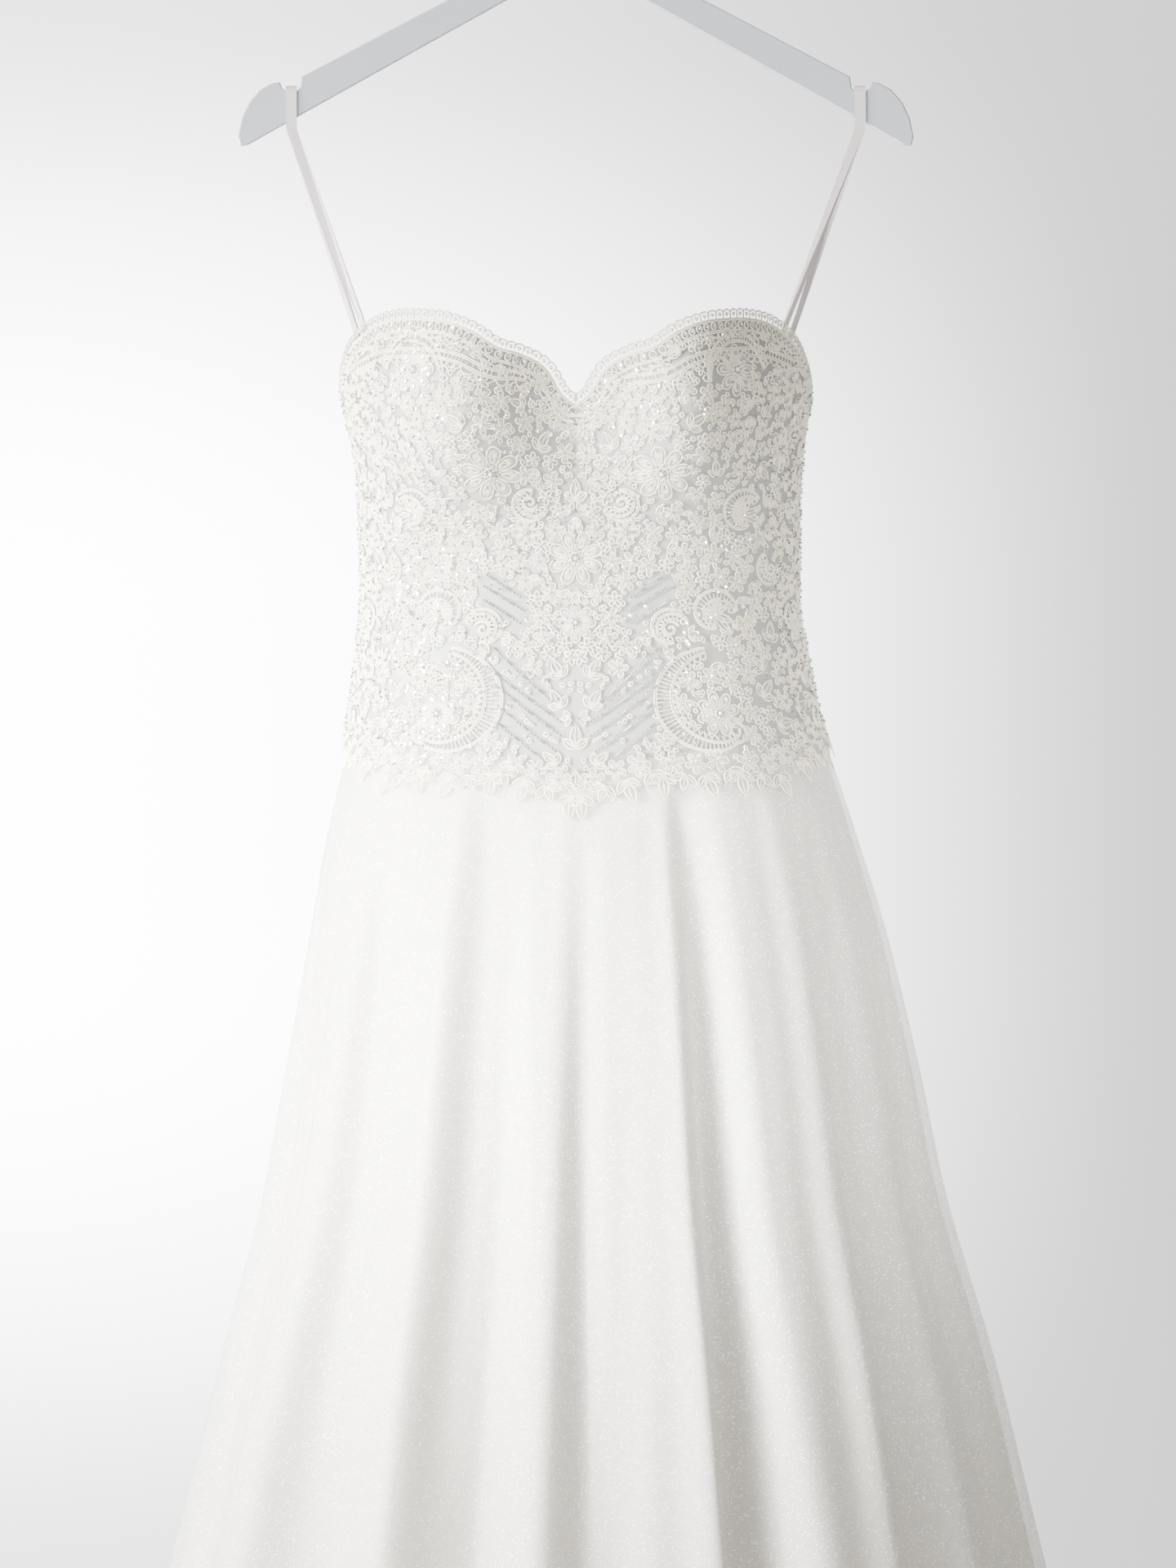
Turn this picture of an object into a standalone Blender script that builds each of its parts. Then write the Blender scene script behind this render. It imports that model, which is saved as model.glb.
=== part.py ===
"""Strapless wedding gown hung by two ribbon loops on a flat acrylic hanger.

Sizes are in millimetres and become metres when a mesh is made. The front faces -Y, up is +Z, and
left and right are those of a viewer who faces the front. The origin is where a rail bears on the
inside of the hook. Angles run round the gown from the centre front, 90 at the right side seam.
"""

import math

import bmesh
import bpy
import numpy as np
from mathutils import Matrix, Vector
from mathutils.geometry import delaunay_2d_cdt

MM = 0.001
SEAM_GAP = 0.3
WAIST_GAP = 0.8
WAIST_INSET = 0.9
BODICE_WALL = 2.0
LACE_WALL = 1.5
LACE_RAISE = 1.0
TULLE_WALL = 1.0
SATIN_WALL = 1.5
HEM_Z = -1700.0
HEM_STANDOFF = 7.0
CUP_X = 76.0
CUP_WIDTH = 47.0
CUP_RISE = 34.0
EDGE_BAND = 9.0
EDGE_GAP = 0.8
SCALLOPS_PER_COLUMN = 2
BACK_FROM_DEG = 92
SCALLOP_RISE = 4.5
MM_PER_DEG = 2.6
ZIP_EDGE_DEG = 1.0
LACE_LIFT = 0.9
GROUND_POINT_GAP = 7.0
CUP_GROUND_POINT_GAP = 1.5
CUP_FOOT_Z = -470.0
EDGE_CLEARANCE = 2.0

# Half widths and depths of the whole gown at each height.
OUTLINE_COLUMNS = ("z", "left", "right", "front", "back")
OUTLINE = (
    (-290, 150.0, 148.0, 96.0, 84.0),
    (-326, 152.0, 150.0, 100.0, 90.0),
    (-350, 152.0, 152.5, 101.0, 94.0),
    (-374, 147.0, 149.0, 99.0, 95.0),
    (-398, 142.0, 146.5, 95.0, 94.0),
    (-422, 140.5, 145.0, 91.0, 91.0),
    (-446, 140.0, 145.0, 88.0, 88.0),
    (-470, 139.0, 145.0, 88.0, 86.0),
    (-494, 139.5, 145.5, 90.0, 87.0),
    (-518, 142.0, 150.0, 94.0, 90.0),
    (-542, 145.0, 154.5, 99.0, 95.0),
    (-566, 148.0, 160.0, 105.0, 101.0),
    (-590, 151.5, 167.5, 111.0, 108.0),
    (-614, 157.0, 175.5, 117.0, 114.0),
    (-638, 162.0, 183.0, 123.0, 120.0),
    (-686, 171.0, 198.0, 135.0, 132.0),
    (-782, 187.5, 222.0, 156.0, 154.0),
    (-878, 205.0, 242.0, 176.0, 174.0),
    (-974, 231.0, 270.0, 196.0, 195.0),
    (-1094, 262.0, 300.0, 220.0, 221.0),
    (-1400, 335.0, 375.0, 280.0, 284.0),
    (-1700, 405.0, 445.0, 335.0, 340.0),
)

# How far the cups stand out of the bodice, as a share of the full rise.
CUP_PROFILE_COLUMNS = ("z", "share")
CUP_PROFILE = (
    (-290, 0.50),
    (-310, 0.66),
    (-340, 0.92),
    (-362, 1.00),
    (-385, 0.94),
    (-405, 0.66),
    (-425, 0.28),
    (-445, 0.05),
    (-460, 0.00),
)

# Top edge of the bodice from the centre front to the centre back, the same on both sides.
NECKLINE_COLUMNS = ("angle", "z")
NECKLINE = (
    (0, -360.0),
    (3, -353.0),
    (6, -339.0),
    (12, -328.0),
    (18, -323.0),
    (24, -313.0),
    (30, -307.0),
    (38, -304.0),
    (46, -303.5),
    (54, -306.0),
    (62, -312.0),
    (72, -322.0),
    (82, -336.0),
    (92, -350.0),
    (116, -370.0),
    (140, -383.0),
    (180, -391.0),
)

# Seam between bodice and skirt, hidden under the lower edge of the lace.
SEAM_COLUMNS = ("angle", "z")
SEAM = (
    (0, -598.0),
    (12, -588.0),
    (30, -582.0),
    (54, -576.0),
    (72, -566.0),
    (92, -556.0),
    (140, -562.0),
    (180, -572.0),
)

# Lower edge of the lace, with the point at the centre front.
LACE_HEM_COLUMNS = ("angle", "z")
LACE_HEM = (
    (0, -622.0),
    (4, -614.0),
    (8, -603.0),
    (12, -606.0),
    (16, -600.0),
    (21, -604.0),
    (25, -598.0),
    (30, -603.0),
    (36, -597.0),
    (42, -606.0),
    (48, -598.0),
    (54, -600.0),
    (60, -590.0),
    (67, -592.0),
    (74, -580.0),
    (82, -582.0),
    (90, -572.0),
    (98, -577.0),
    (106, -571.0),
    (114, -578.0),
    (122, -573.0),
    (130, -581.0),
    (138, -577.0),
    (146, -587.0),
    (154, -583.0),
    (162, -594.0),
    (170, -592.0),
    (180, -604.0),
)

# Fold lines of the skirt: ridges have no depth, hollows lie inward by their depth at the hem.
FOLD_COLUMNS = ("angle_top", "angle_hem", "depth", "start_z")
FOLDS = (
    (-180, -180, 66, -640),
    (-170, -168, 0, -640),
    (-157, -155, 54, -650),
    (-143, -141, 0, -650),
    (-128, -126, 62, -640),
    (-113, -111, 0, -640),
    (-99, -98, 46, -660),
    (-85, -84, 0, -660),
    (-69, -72, 40, -680),
    (-53, -59, 0, -640),
    (-42, -38, 62, -640),
    (-27, -23, 6, -640),
    (-17, -12.5, 66, -600),
    (-6, -6.5, 8, -600),
    (3, 2, 44, -660),
    (16.5, 17, 2, -620),
    (22.5, 23.5, 74, -596),
    (31, 31, 0, -596),
    (44, 39, 12, -620),
    (58, 47, 58, -620),
    (65, 57, 14, -640),
    (72, 68, 60, -620),
    (88, 86, 0, -620),
    (103, 103, 52, -650),
    (117, 119, 0, -650),
    (131, 134, 64, -640),
    (146, 148, 0, -640),
    (159, 160, 50, -660),
    (170, 171, 0, -660),
    (180, 180, 66, -640),
)
COLUMNS_PER_FOLD = 3
TULLE_ROWS = (0, 0.025, 0.06, 0.11, 0.19, 0.32, 0.48, 0.72, 1)
SATIN_ROWS = (0, 0.025, 0.06, 0.19, 0.32, 1)

BODICE_COLUMNS = (
    -180, -170, -160, -150, -140, -128, -116, -104, -92, -82, -72, -62, -54, -46, -38, -30,
    -24, -18, -12, -6, 0, 6, 12, 18, 24, 30, 38, 46, 54, 62, 72, 82, 92, 104, 116, 128, 140,
    150, 160, 170, 180,
)
BODICE_ROWS = (0, 0.06, 0.12, 0.18, 0.24, 0.30, 0.37, 0.44, 0.53, 0.63, 0.75, 0.87, 1)
LACE_EXTRA_ROWS = 2
LACE_EXTRA_STEP = 16.0
ZIP_HALF_WIDTH = 1.7

BODICE_PANELS_COLUMNS = ("name", "first angle", "last angle")
BODICE_PANELS = (
    ("bodice_back_left", -180, -140),
    ("bodice_side_back_left", -140, -92),
    ("bodice_side_front_left", -92, -30),
    ("bodice_centre_front", -30, 30),
    ("bodice_side_front_right", 30, 92),
    ("bodice_side_back_right", 92, 140),
    ("bodice_back_right", 140, 180),
)

SKIRT_PANELS_COLUMNS = ("name", "first fold line", "last fold line")
SATIN_PANELS = (
    ("skirt_satin_back_left", 0, 3),
    ("skirt_satin_side_back_left", 3, 6),
    ("skirt_satin_side_front_left", 6, 10),
    ("skirt_satin_front", 10, 19),
    ("skirt_satin_side_front_right", 19, 23),
    ("skirt_satin_side_back_right", 23, 26),
    ("skirt_satin_back_right", 26, 29),
)
TULLE_PANELS = (
    ("skirt_tulle_back_left", 0, 6),
    ("skirt_tulle_front", 6, 23),
    ("skirt_tulle_back_right", 23, 29),
)

# Motifs of the front lace, each also mirrored where "both" is 1. Places are angle and height.
FRONT_MOTIF_COLUMNS = ("kind", "angle", "z", "size", "turn", "both")
FRONT_MOTIFS = (
    ("flower", 21, -404, 19, 10, 1),
    ("flower", 40, -338, 17, 0, 1),
    ("flower", 0, -459, 18, 22, 0),
    ("flower", 0, -501, 13, 0, 0),
    ("flower", 36, -563, 17, 15, 1),
    ("flower", 62, -388, 15, 5, 1),
    ("flower", 12, -442, 9, 0, 1),
    ("arch", 41, -344, 29, 0, 1),
    ("curl", 11, -423, 13, 200, 1),
    ("scroll", 24, -555, 40, 0, 1),
    ("fan", 33, -498, 20, 30, 1),
    ("fan", 72, -500, 17, -20, 1),
    ("fan", 46, -430, 19, 60, 1),
    ("curl", 58, -465, 12, 120, 1),
    ("leaf", 0, -417, 13, 90, 0),
    ("leaf", 4, -532, 12, 60, 1),
    ("leaf", 4, -552, 12, 60, 1),
    ("leaf", 0, -577, 14, 90, 0),
    ("leaf", 5, -590, 11, 40, 1),
    ("leaf", 0, -605, 12, 90, 0),
    ("leaf", 8, -385, 12, 120, 1),
    ("leaf", 29, -372, 12, 35, 1),
    ("leaf", 13, -360, 10, 20, 1),
    ("leaf", 36, -402, 11, 100, 1),
    ("leaf", 52, -364, 11, 60, 1),
    ("leaf", 53, -402, 12, -40, 1),
    ("leaf", 50, -545, 13, 50, 1),
    ("leaf", 55, -566, 13, 10, 1),
    ("leaf", 49, -586, 12, -50, 1),
    ("leaf", 66, -556, 13, 30, 1),
    ("leaf", 74, -536, 12, 60, 1),
    ("leaf", 76, -562, 12, -10, 1),
    ("leaf", 56, -508, 12, 80, 1),
    ("leaf", 78, -462, 13, 90, 1),
    ("leaf", 76, -425, 12, 60, 1),
    ("leaf", 77, -392, 12, 110, 1),
    ("leaf", 14, -596, 10, -20, 1),
)

# Motifs of each back half, placed by angle from the centre front.
BACK_MOTIF_COLUMNS = ("kind", "angle", "z", "size", "turn", "both")
BACK_MOTIFS = (
    ("flower", 112, -430, 18, 0, 1),
    ("flower", 150, -440, 17, 20, 1),
    ("flower", 134, -500, 18, 8, 1),
    ("flower", 160, -556, 14, 0, 1),
    ("scroll", 150, -520, 30, 0, 1),
    ("fan", 108, -520, 18, -30, 1),
    ("leaf", 128, -405, 13, 70, 1),
    ("leaf", 165, -410, 12, 100, 1),
    ("leaf", 104, -475, 12, 60, 1),
    ("leaf", 125, -455, 12, -40, 1),
    ("leaf", 112, -558, 12, 20, 1),
    ("leaf", 128, -552, 12, 50, 1),
    ("leaf", 168, -490, 12, 90, 1),
    ("leaf", 170, -585, 11, 60, 1),
)

# Right half of the hanger's edge, from the top of the middle round the end to the underside.
HANGER_HALF_COLUMNS = ("x", "z")
HANGER_HALF = (
    (5.0, -52.0),
    (12.0, -54.5),
    (20.0, -60.0),
    (100.0, -102.0),
    (179.0, -143.5),
    (180.0, -150.5),
    (181.2, -152.2),
    (190.2, -152.2),
    (191.6, -150.5),
    (193.0, -147.0),
    (198.0, -147.5),
    (206.0, -152.0),
    (213.0, -160.0),
    (218.0, -170.5),
    (220.5, -183.0),
    (219.0, -188.5),
    (214.0, -188.0),
    (176.0, -166.5),
    (100.0, -124.0),
    (20.0, -79.5),
    (8.0, -75.5),
)
HANGER_THICKNESS = 6.0
HANGER_BEVEL = 0.8

HOOK_WIRE = 1.9
HOOK_INNER_RADIUS = 17.0
HOOK_TIP_ANGLE = 205.0
HOOK_SIDES = 8
HOOK_COLLAR_RADIUS = 4.2
HOOK_COLLAR_HEIGHT = 5.0

LOOP_WIDTH = 7.0
LOOP_THICK = 1.0
LOOP_FRONT_ANGLE = 64.0
LOOP_BACK_ANGLE = 69.0
LOOP_TUCKS = (26.0, 12.0, -0.6)
NOTCH_X = 185.6
NOTCH_Z = -152.2

SLIDER_DROP = 12.0
PULL_LENGTH = 20.0
PULL_WIDTH = 5.0
PULL_HALF_THICK = 1.3
PIN_RADIUS = 0.6
PIN_OUT = 2.2
SLIDER_DEPTH = 3.4


def clear_scene():
    for o in list(bpy.data.objects):
        bpy.data.objects.remove(o, do_unlink=True)


def make_material(name, colour, roughness, metallic=0.0, alpha=1.0):
    m = bpy.data.materials.new(name)
    m.use_nodes = True
    shader = m.node_tree.nodes["Principled BSDF"]
    shader.inputs["Base Color"].default_value = (*colour, 1.0)
    shader.inputs["Roughness"].default_value = roughness
    shader.inputs["Metallic"].default_value = metallic
    shader.inputs["Alpha"].default_value = alpha
    return m


def add_object(name, points, faces, material, smooth=True):
    mesh = bpy.data.meshes.new(name)
    mesh.from_pydata([tuple(c * MM for c in p) for p in points], [], faces)
    bm = bmesh.new()
    bm.from_mesh(mesh)
    bmesh.ops.recalc_face_normals(bm, faces=bm.faces[:])
    if bm.calc_volume(signed=True) < 0:
        bmesh.ops.reverse_faces(bm, faces=bm.faces[:])
    bm.to_mesh(mesh)
    bm.free()
    mesh.polygons.foreach_set("use_smooth", [smooth] * len(mesh.polygons))
    mesh.materials.append(material)
    o = bpy.data.objects.new(name, mesh)
    bpy.context.scene.collection.objects.link(o)
    return o


def smooth_table(table, column, at):
    """Value of one column of a table, eased between rows so that the wall has no creases."""
    keys = np.array([row[0] for row in table], float)
    values = np.array([row[column] for row in table], float)
    if keys[0] > keys[-1]:
        keys = keys[::-1]
        values = values[::-1]
    slopes = np.gradient(values, keys)
    at = np.clip(np.asarray(at, float), keys[0], keys[-1])
    i = np.clip(np.searchsorted(keys, at) - 1, 0, len(keys) - 2)
    h = keys[i + 1] - keys[i]
    t = (at - keys[i]) / h
    rise = (1 + 2 * t) * (1 - t) ** 2 * values[i] + t * t * (3 - 2 * t) * values[i + 1]
    lean = t * (1 - t) ** 2 * slopes[i] - t * t * (1 - t) * slopes[i + 1]
    return rise + h * lean


def straight_table(table, column, at):
    keys = [row[0] for row in table]
    values = [row[column] for row in table]
    return np.interp(np.abs(at), keys, values)


def neckline_z(angle):
    return smooth_table(NECKLINE, 1, np.abs(angle))


def seam_z(angle):
    return straight_table(SEAM, 1, angle)


def gown_surface(angle, z):
    """Outer face of the gown before its folds, at angles in degrees and heights in mm."""
    angle = np.radians(angle)
    s = np.sin(angle)
    c = np.cos(angle)
    left = smooth_table(OUTLINE, 1, z)
    right = smooth_table(OUTLINE, 2, z)
    front = smooth_table(OUTLINE, 3, z)
    back = smooth_table(OUTLINE, 4, z)
    half = (left + right) / 2 + (right - left) / 2 * s
    depth = (front + back) / 2 + (front - back) / 2 * c
    x = half * s * (1 + 0.09 * c * c)
    y = -depth * c * (1 + 0.09 * s * s)
    share = smooth_table(CUP_PROFILE, 1, z)
    across = np.exp(-(((np.abs(x) - CUP_X) / CUP_WIDTH) ** 2))
    facing = np.clip(c / 0.35, 0, 1)
    y = y - CUP_RISE * share * across * facing * facing * (3 - 2 * facing)
    return np.stack([x, y, np.broadcast_to(z, x.shape)], axis=-1)


def fold_angle(line, z):
    top = FOLDS[line][0]
    hem = FOLDS[line][1]
    share = np.clip((-560 - z) / (-560 - HEM_Z), 0, 1)
    return top + (hem - top) * share


def fold_depth(line, z):
    depth = FOLDS[line][2]
    start = FOLDS[line][3]
    share = np.clip((start - z) / (start - HEM_Z), 0, 1)
    return depth * share ** 0.8


def skirt_grid(rows, standoff):
    """Grid of skirt points [row][column] whose columns follow the folds."""
    count = (len(FOLDS) - 1) * COLUMNS_PER_FOLD
    grid = np.zeros((len(rows), count + 1, 3))
    for k in range(count + 1):
        line = min(k // COLUMNS_PER_FOLD, len(FOLDS) - 2)
        part = k / COLUMNS_PER_FOLD - line
        ease = (1 - math.cos(math.pi * part)) / 2
        top = FOLDS[line][0] * (1 - part) + FOLDS[line + 1][0] * part
        start = float(seam_z(top)) - WAIST_GAP
        z = start + (HEM_Z - start) * np.array(rows)
        angle = fold_angle(line, z) * (1 - part) + fold_angle(line + 1, z) * part
        depth = fold_depth(line, z) * (1 - ease) + fold_depth(line + 1, z) * ease
        p = gown_surface(angle, z)
        reach = np.hypot(p[:, 0], p[:, 1])
        inward = depth + standoff[0] + (standoff[1] - standoff[0]) * np.sqrt(np.array(rows))
        p[:, 0] *= 1 - inward / reach
        p[:, 1] *= 1 - inward / reach
        grid[:, k] = p
    return grid


def bodice_grid(extra_rows):
    angles = np.array(BODICE_COLUMNS, float)
    top = neckline_z(angles)
    low = seam_z(angles)
    rows = []
    for share in BODICE_ROWS:
        rows.append(gown_surface(angles, top + (low - top) * share))
    for j in range(extra_rows):
        rows.append(gown_surface(angles, low - LACE_EXTRA_STEP * (j + 1)))
    return np.array(rows)


def grid_normals(grid, closed=True):
    """Unit normals of a ring of points, pointing out of the gown."""
    down = np.gradient(grid, axis=0)
    if closed:
        ring = np.concatenate([grid[:, -2:-1], grid, grid[:, 1:2]], axis=1)
        along = (ring[:, 2:] - ring[:, :-2]) / 2
    else:
        along = np.gradient(grid, axis=1)
    n = np.cross(down, along)
    n /= np.linalg.norm(n, axis=2, keepdims=True)
    flat = grid[:, :, :2]
    outward = np.sum(n[:, :, :2] * flat, axis=2)
    if np.mean(outward) < 0:
        n = -n
    return n


def inside_face(outer, wall):
    """Inner face of a wall, level with the outer one along its top and bottom edges."""
    inner = outer - grid_normals(outer) * wall
    inner[0, :, 2] = outer[0, :, 2]
    inner[-1, :, 2] = outer[-1, :, 2]
    return inner


def wall_from_grids(name, outer, inner, material):
    """Closed wall between two grids of points of the same shape."""
    rows, cols = outer.shape[:2]
    points = [tuple(p) for p in outer.reshape(-1, 3)] + [tuple(p) for p in inner.reshape(-1, 3)]
    back = rows * cols
    faces = []

    def quad(a, b, c, d):
        faces.append((a, b, c))
        faces.append((a, c, d))

    for j in range(rows - 1):
        for i in range(cols - 1):
            a = j * cols + i
            b = a + 1
            c = a + cols + 1
            d = a + cols
            quad(a, b, c, d)
            faces.append((back + a, back + c, back + b))
            faces.append((back + a, back + d, back + c))
    for i in range(cols - 1):
        low = (rows - 1) * cols
        quad(i + 1, i, back + i, back + i + 1)
        quad(low + i, low + i + 1, back + low + i + 1, back + low + i)
    for j in range(rows - 1):
        a = j * cols
        b = (j + 1) * cols
        quad(a, b, back + b, back + a)
        e = a + cols - 1
        f = b + cols - 1
        quad(f, e, back + e, back + f)
    return add_object(name, points, faces, material)


def trimmed(grid, first, last, trim_first, trim_last):
    """Columns of a grid with the two edge columns drawn back along the cloth."""
    part = grid[:, first : last + 1].copy()
    for edge, near, trim in ((0, 1, trim_first), (-1, -2, trim_last)):
        along = part[:, near] - part[:, edge]
        along /= np.linalg.norm(along, axis=1, keepdims=True)
        part[:, edge] += along * trim
    return part


def build_bodice(material):
    grid = bodice_grid(0)
    inner = inside_face(grid, BODICE_WALL)
    for name, first, last in BODICE_PANELS:
        a = BODICE_COLUMNS.index(first)
        b = BODICE_COLUMNS.index(last)
        trim_a = ZIP_HALF_WIDTH + SEAM_GAP if first == -180 else SEAM_GAP / 2
        trim_b = ZIP_HALF_WIDTH + SEAM_GAP if last == 180 else SEAM_GAP / 2
        wall_from_grids(
            name,
            trimmed(grid, a, b, trim_a, trim_b),
            trimmed(inner, a, b, trim_a, trim_b),
            material,
        )


def build_skirt(satin, tulle):
    outer = skirt_grid(TULLE_ROWS, (WAIST_INSET, 0.0))
    inner = inside_face(outer, TULLE_WALL)
    gap = SEAM_GAP / 2
    for name, first, last in TULLE_PANELS:
        a = first * COLUMNS_PER_FOLD
        b = last * COLUMNS_PER_FOLD
        wall_from_grids(name, trimmed(outer, a, b, gap, gap), trimmed(inner, a, b, gap, gap), tulle)
    start = WAIST_INSET + TULLE_WALL + SEAM_GAP
    under = skirt_grid(SATIN_ROWS, (start, start + HEM_STANDOFF))
    lining = inside_face(under, SATIN_WALL)
    for name, first, last in SATIN_PANELS:
        a = first * COLUMNS_PER_FOLD
        b = last * COLUMNS_PER_FOLD
        wall_from_grids(name, trimmed(under, a, b, gap, gap), trimmed(lining, a, b, gap, gap), satin)


class Cloth:
    """The flat faces of the bodice grid, so that what lies on it is made from its points."""

    def __init__(self):
        self.grid = bodice_grid(LACE_EXTRA_ROWS)
        self.normals = grid_normals(self.grid)
        self.flat_x = np.array(BODICE_COLUMNS, float) * MM_PER_DEG
        self.flat_y = self.grid[:, :, 2]

    def triangles(self, i):
        for j in range(self.grid.shape[0] - 1):
            a = (j, i)
            b = (j, i + 1)
            c = (j + 1, i + 1)
            d = (j + 1, i)
            yield a, b, c
            yield a, c, d

    def flat(self, corner):
        j, i = corner
        return self.flat_x[i], self.flat_y[j, i]

    def place(self, x, y, lift):
        """Point of the cloth above flat place x, y, moved out by lift."""
        i = int(np.clip(np.searchsorted(self.flat_x, x) - 1, 0, len(self.flat_x) - 2))
        best = None
        for tri in self.triangles(i):
            (ax, ay), (bx, by), (cx, cy) = (self.flat(corner) for corner in tri)
            area = (bx - ax) * (cy - ay) - (cx - ax) * (by - ay)
            u = ((bx - x) * (cy - y) - (cx - x) * (by - y)) / area
            v = ((cx - x) * (ay - y) - (ax - x) * (cy - y)) / area
            w = 1 - u - v
            worst = min(u, v, w)
            if best is None or worst > best[0]:
                best = (worst, tri, (u, v, w))
        point = np.zeros(3)
        normal = np.zeros(3)
        for (j, k), share in zip(best[1], best[2]):
            point += share * self.grid[j, k]
            normal += share * self.normals[j, k]
        normal /= np.linalg.norm(normal)
        return point + normal * lift

    def edges_within(self, low_x, high_x):
        """Edges of the flat faces that lie between two flat places, as pairs of corners."""
        found = set()
        for i in range(len(self.flat_x) - 1):
            if self.flat_x[i + 1] < low_x or self.flat_x[i] > high_x:
                continue
            for tri in self.triangles(i):
                for a, b in ((0, 1), (1, 2), (2, 0)):
                    found.add(tuple(sorted((tri[a], tri[b]))))
        return [(self.flat(a), self.flat(b)) for a, b in sorted(found)]


def flower_ring(size, share):
    """Outline of an eight petal flower."""
    points = []
    for k in range(16):
        reach = size * share if k % 2 == 0 else size * share * 0.66
        a = 2 * math.pi * k / 16
        points.append((reach * math.cos(a), reach * math.sin(a)))
    return points


def leaf_ring(size, share):
    points = []
    for k in range(6):
        a = 2 * math.pi * k / 6
        pinch = abs(math.sin(a)) ** 1.4
        points.append((size * share * math.cos(a), math.copysign(size * 0.42 * share * pinch, math.sin(a))))
    return points


def band_ring(path, half, share):
    """Outline of a band of the given half width along a path of points."""
    path = np.array(path, float)
    along = np.gradient(path, axis=0)
    along /= np.linalg.norm(along, axis=1, keepdims=True)
    side = np.stack([-along[:, 1], along[:, 0]], axis=1)
    widths = half * share * np.sin(np.linspace(0.35, math.pi - 0.35, len(path)))[:, None] ** 0.5
    ends = (1 - share) * half
    path = path.copy()
    path[0] += along[0] * ends
    path[-1] -= along[-1] * ends
    one = path + side * widths
    two = path - side * widths
    return [tuple(p) for p in one] + [tuple(p) for p in two[::-1]]


def arc_path(radius, start, stop, count, shrink=1.0, lift=0.0):
    points = []
    for k in range(count):
        t = k / (count - 1)
        a = math.radians(start + (stop - start) * t)
        r = radius * (1 + (shrink - 1) * t)
        points.append((r * math.cos(a), r * math.sin(a) + lift * t))
    return points


def motif_rings(kind, size):
    """Foot and top outlines of one raised motif, about its own middle."""
    if kind == "flower":
        return flower_ring(size, 1.0), flower_ring(size, 0.86)
    if kind == "leaf":
        return leaf_ring(size * 0.8, 1.0), leaf_ring(size * 0.8, 0.72)
    if kind == "arch":
        path = arc_path(size, 25, 175, 9)
        half = 3.6
    elif kind == "scroll":
        path = arc_path(size * 0.85, 95, 285, 12, 0.8)
        half = 4.2
    elif kind == "fan":
        path = arc_path(size * 0.8, 0, 190, 8, 0.9)
        half = 5.2
    else:
        path = arc_path(size * 0.9, 0, 260, 9, 0.7)
        half = 3.0
    return band_ring(path, half, 1.0), band_ring(path, half, 0.6)


def turned(points, turn, mirror, x, y):
    c = math.cos(math.radians(turn))
    s = math.sin(math.radians(turn))
    flip = -1 if mirror else 1
    return [(x + flip * (px * c - py * s), y + px * s + py * c) for px, py in points]


def placed_motifs(table, side):
    """Rings of a table's motifs, on both sides or on one side only, none of them touching."""
    placed = []
    kept = []
    for kind, angle, z, size, turn, both in table:
        for mirror in (False, True):
            if mirror and not both:
                continue
            if side == "left" and not mirror:
                continue
            if side == "right" and mirror:
                continue
            x = (-angle if mirror else angle) * MM_PER_DEG
            foot, top = (turned(ring, turn, mirror, x, z) for ring in motif_rings(kind, size))
            if rings_clear(foot, kept):
                kept.append(np.array(foot))
                placed.append((foot, top, (x, z) if kind == "flower" else None))
    return placed


def rings_clear(foot, kept):
    foot = np.array(foot)
    for other in kept:
        if inside_any(foot, other) or inside_any(other, foot):
            return False
        apart = np.linalg.norm(foot[:, None] - other[None, :], axis=2)
        if apart.min() < 1.6:
            return False
    return True


def inside_any(points, ring):
    for x, y in points:
        if inside(x, y, ring):
            return True
    return False


def inside(x, y, ring):
    odd = False
    count = len(ring)
    for k in range(count):
        ax, ay = ring[k]
        bx, by = ring[(k + 1) % count]
        if (ay > y) != (by > y) and x < (bx - ax) * (y - ay) / (by - ay) + ax:
            odd = not odd
    return odd


def scallop_angles():
    """Angles of the feet and tips of the scallops, in turn, all round the top edge."""
    angles = []
    for a, b in zip(BODICE_COLUMNS[:-1], BODICE_COLUMNS[1:]):
        scallops = 1 if max(abs(a), abs(b)) > BACK_FROM_DEG else SCALLOPS_PER_COLUMN
        angles += [float(v) for v in np.linspace(a, b, 2 * scallops, endpoint=False)]
    angles.append(float(BODICE_COLUMNS[-1]))
    reach = 180 - ZIP_EDGE_DEG
    return [max(-reach, min(reach, angle)) for angle in angles]


def lace_outline(first, last):
    """Flat outline of a lace piece from one angle to another, lower edge first."""
    knots = sorted({side * row[0] for row in LACE_HEM for side in (-1, 1)})
    low = []
    for angle in [first] + [knot for knot in knots if first + 1 < knot < last - 1] + [last]:
        low.append((angle * MM_PER_DEG, float(straight_table(LACE_HEM, 1, angle))))
    inner = [angle for angle in scallop_angles() if first + 0.5 < angle < last - 0.5]
    high = []
    for angle in [first] + inner + [last]:
        high.append((angle * MM_PER_DEG, float(neckline_z(angle)) - EDGE_BAND - EDGE_GAP))
    return low + high[::-1]


def edging_outline():
    """Flat outline of the scalloped band along the top edge, lower edge first."""
    low = []
    high = []
    for k, angle in enumerate(scallop_angles()):
        top = float(neckline_z(angle))
        rise = SCALLOP_RISE if k % 2 else SCALLOP_RISE * 0.35
        low.append((angle * MM_PER_DEG, top - EDGE_BAND))
        high.append((angle * MM_PER_DEG, top + rise))
    return low + high[::-1]


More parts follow.
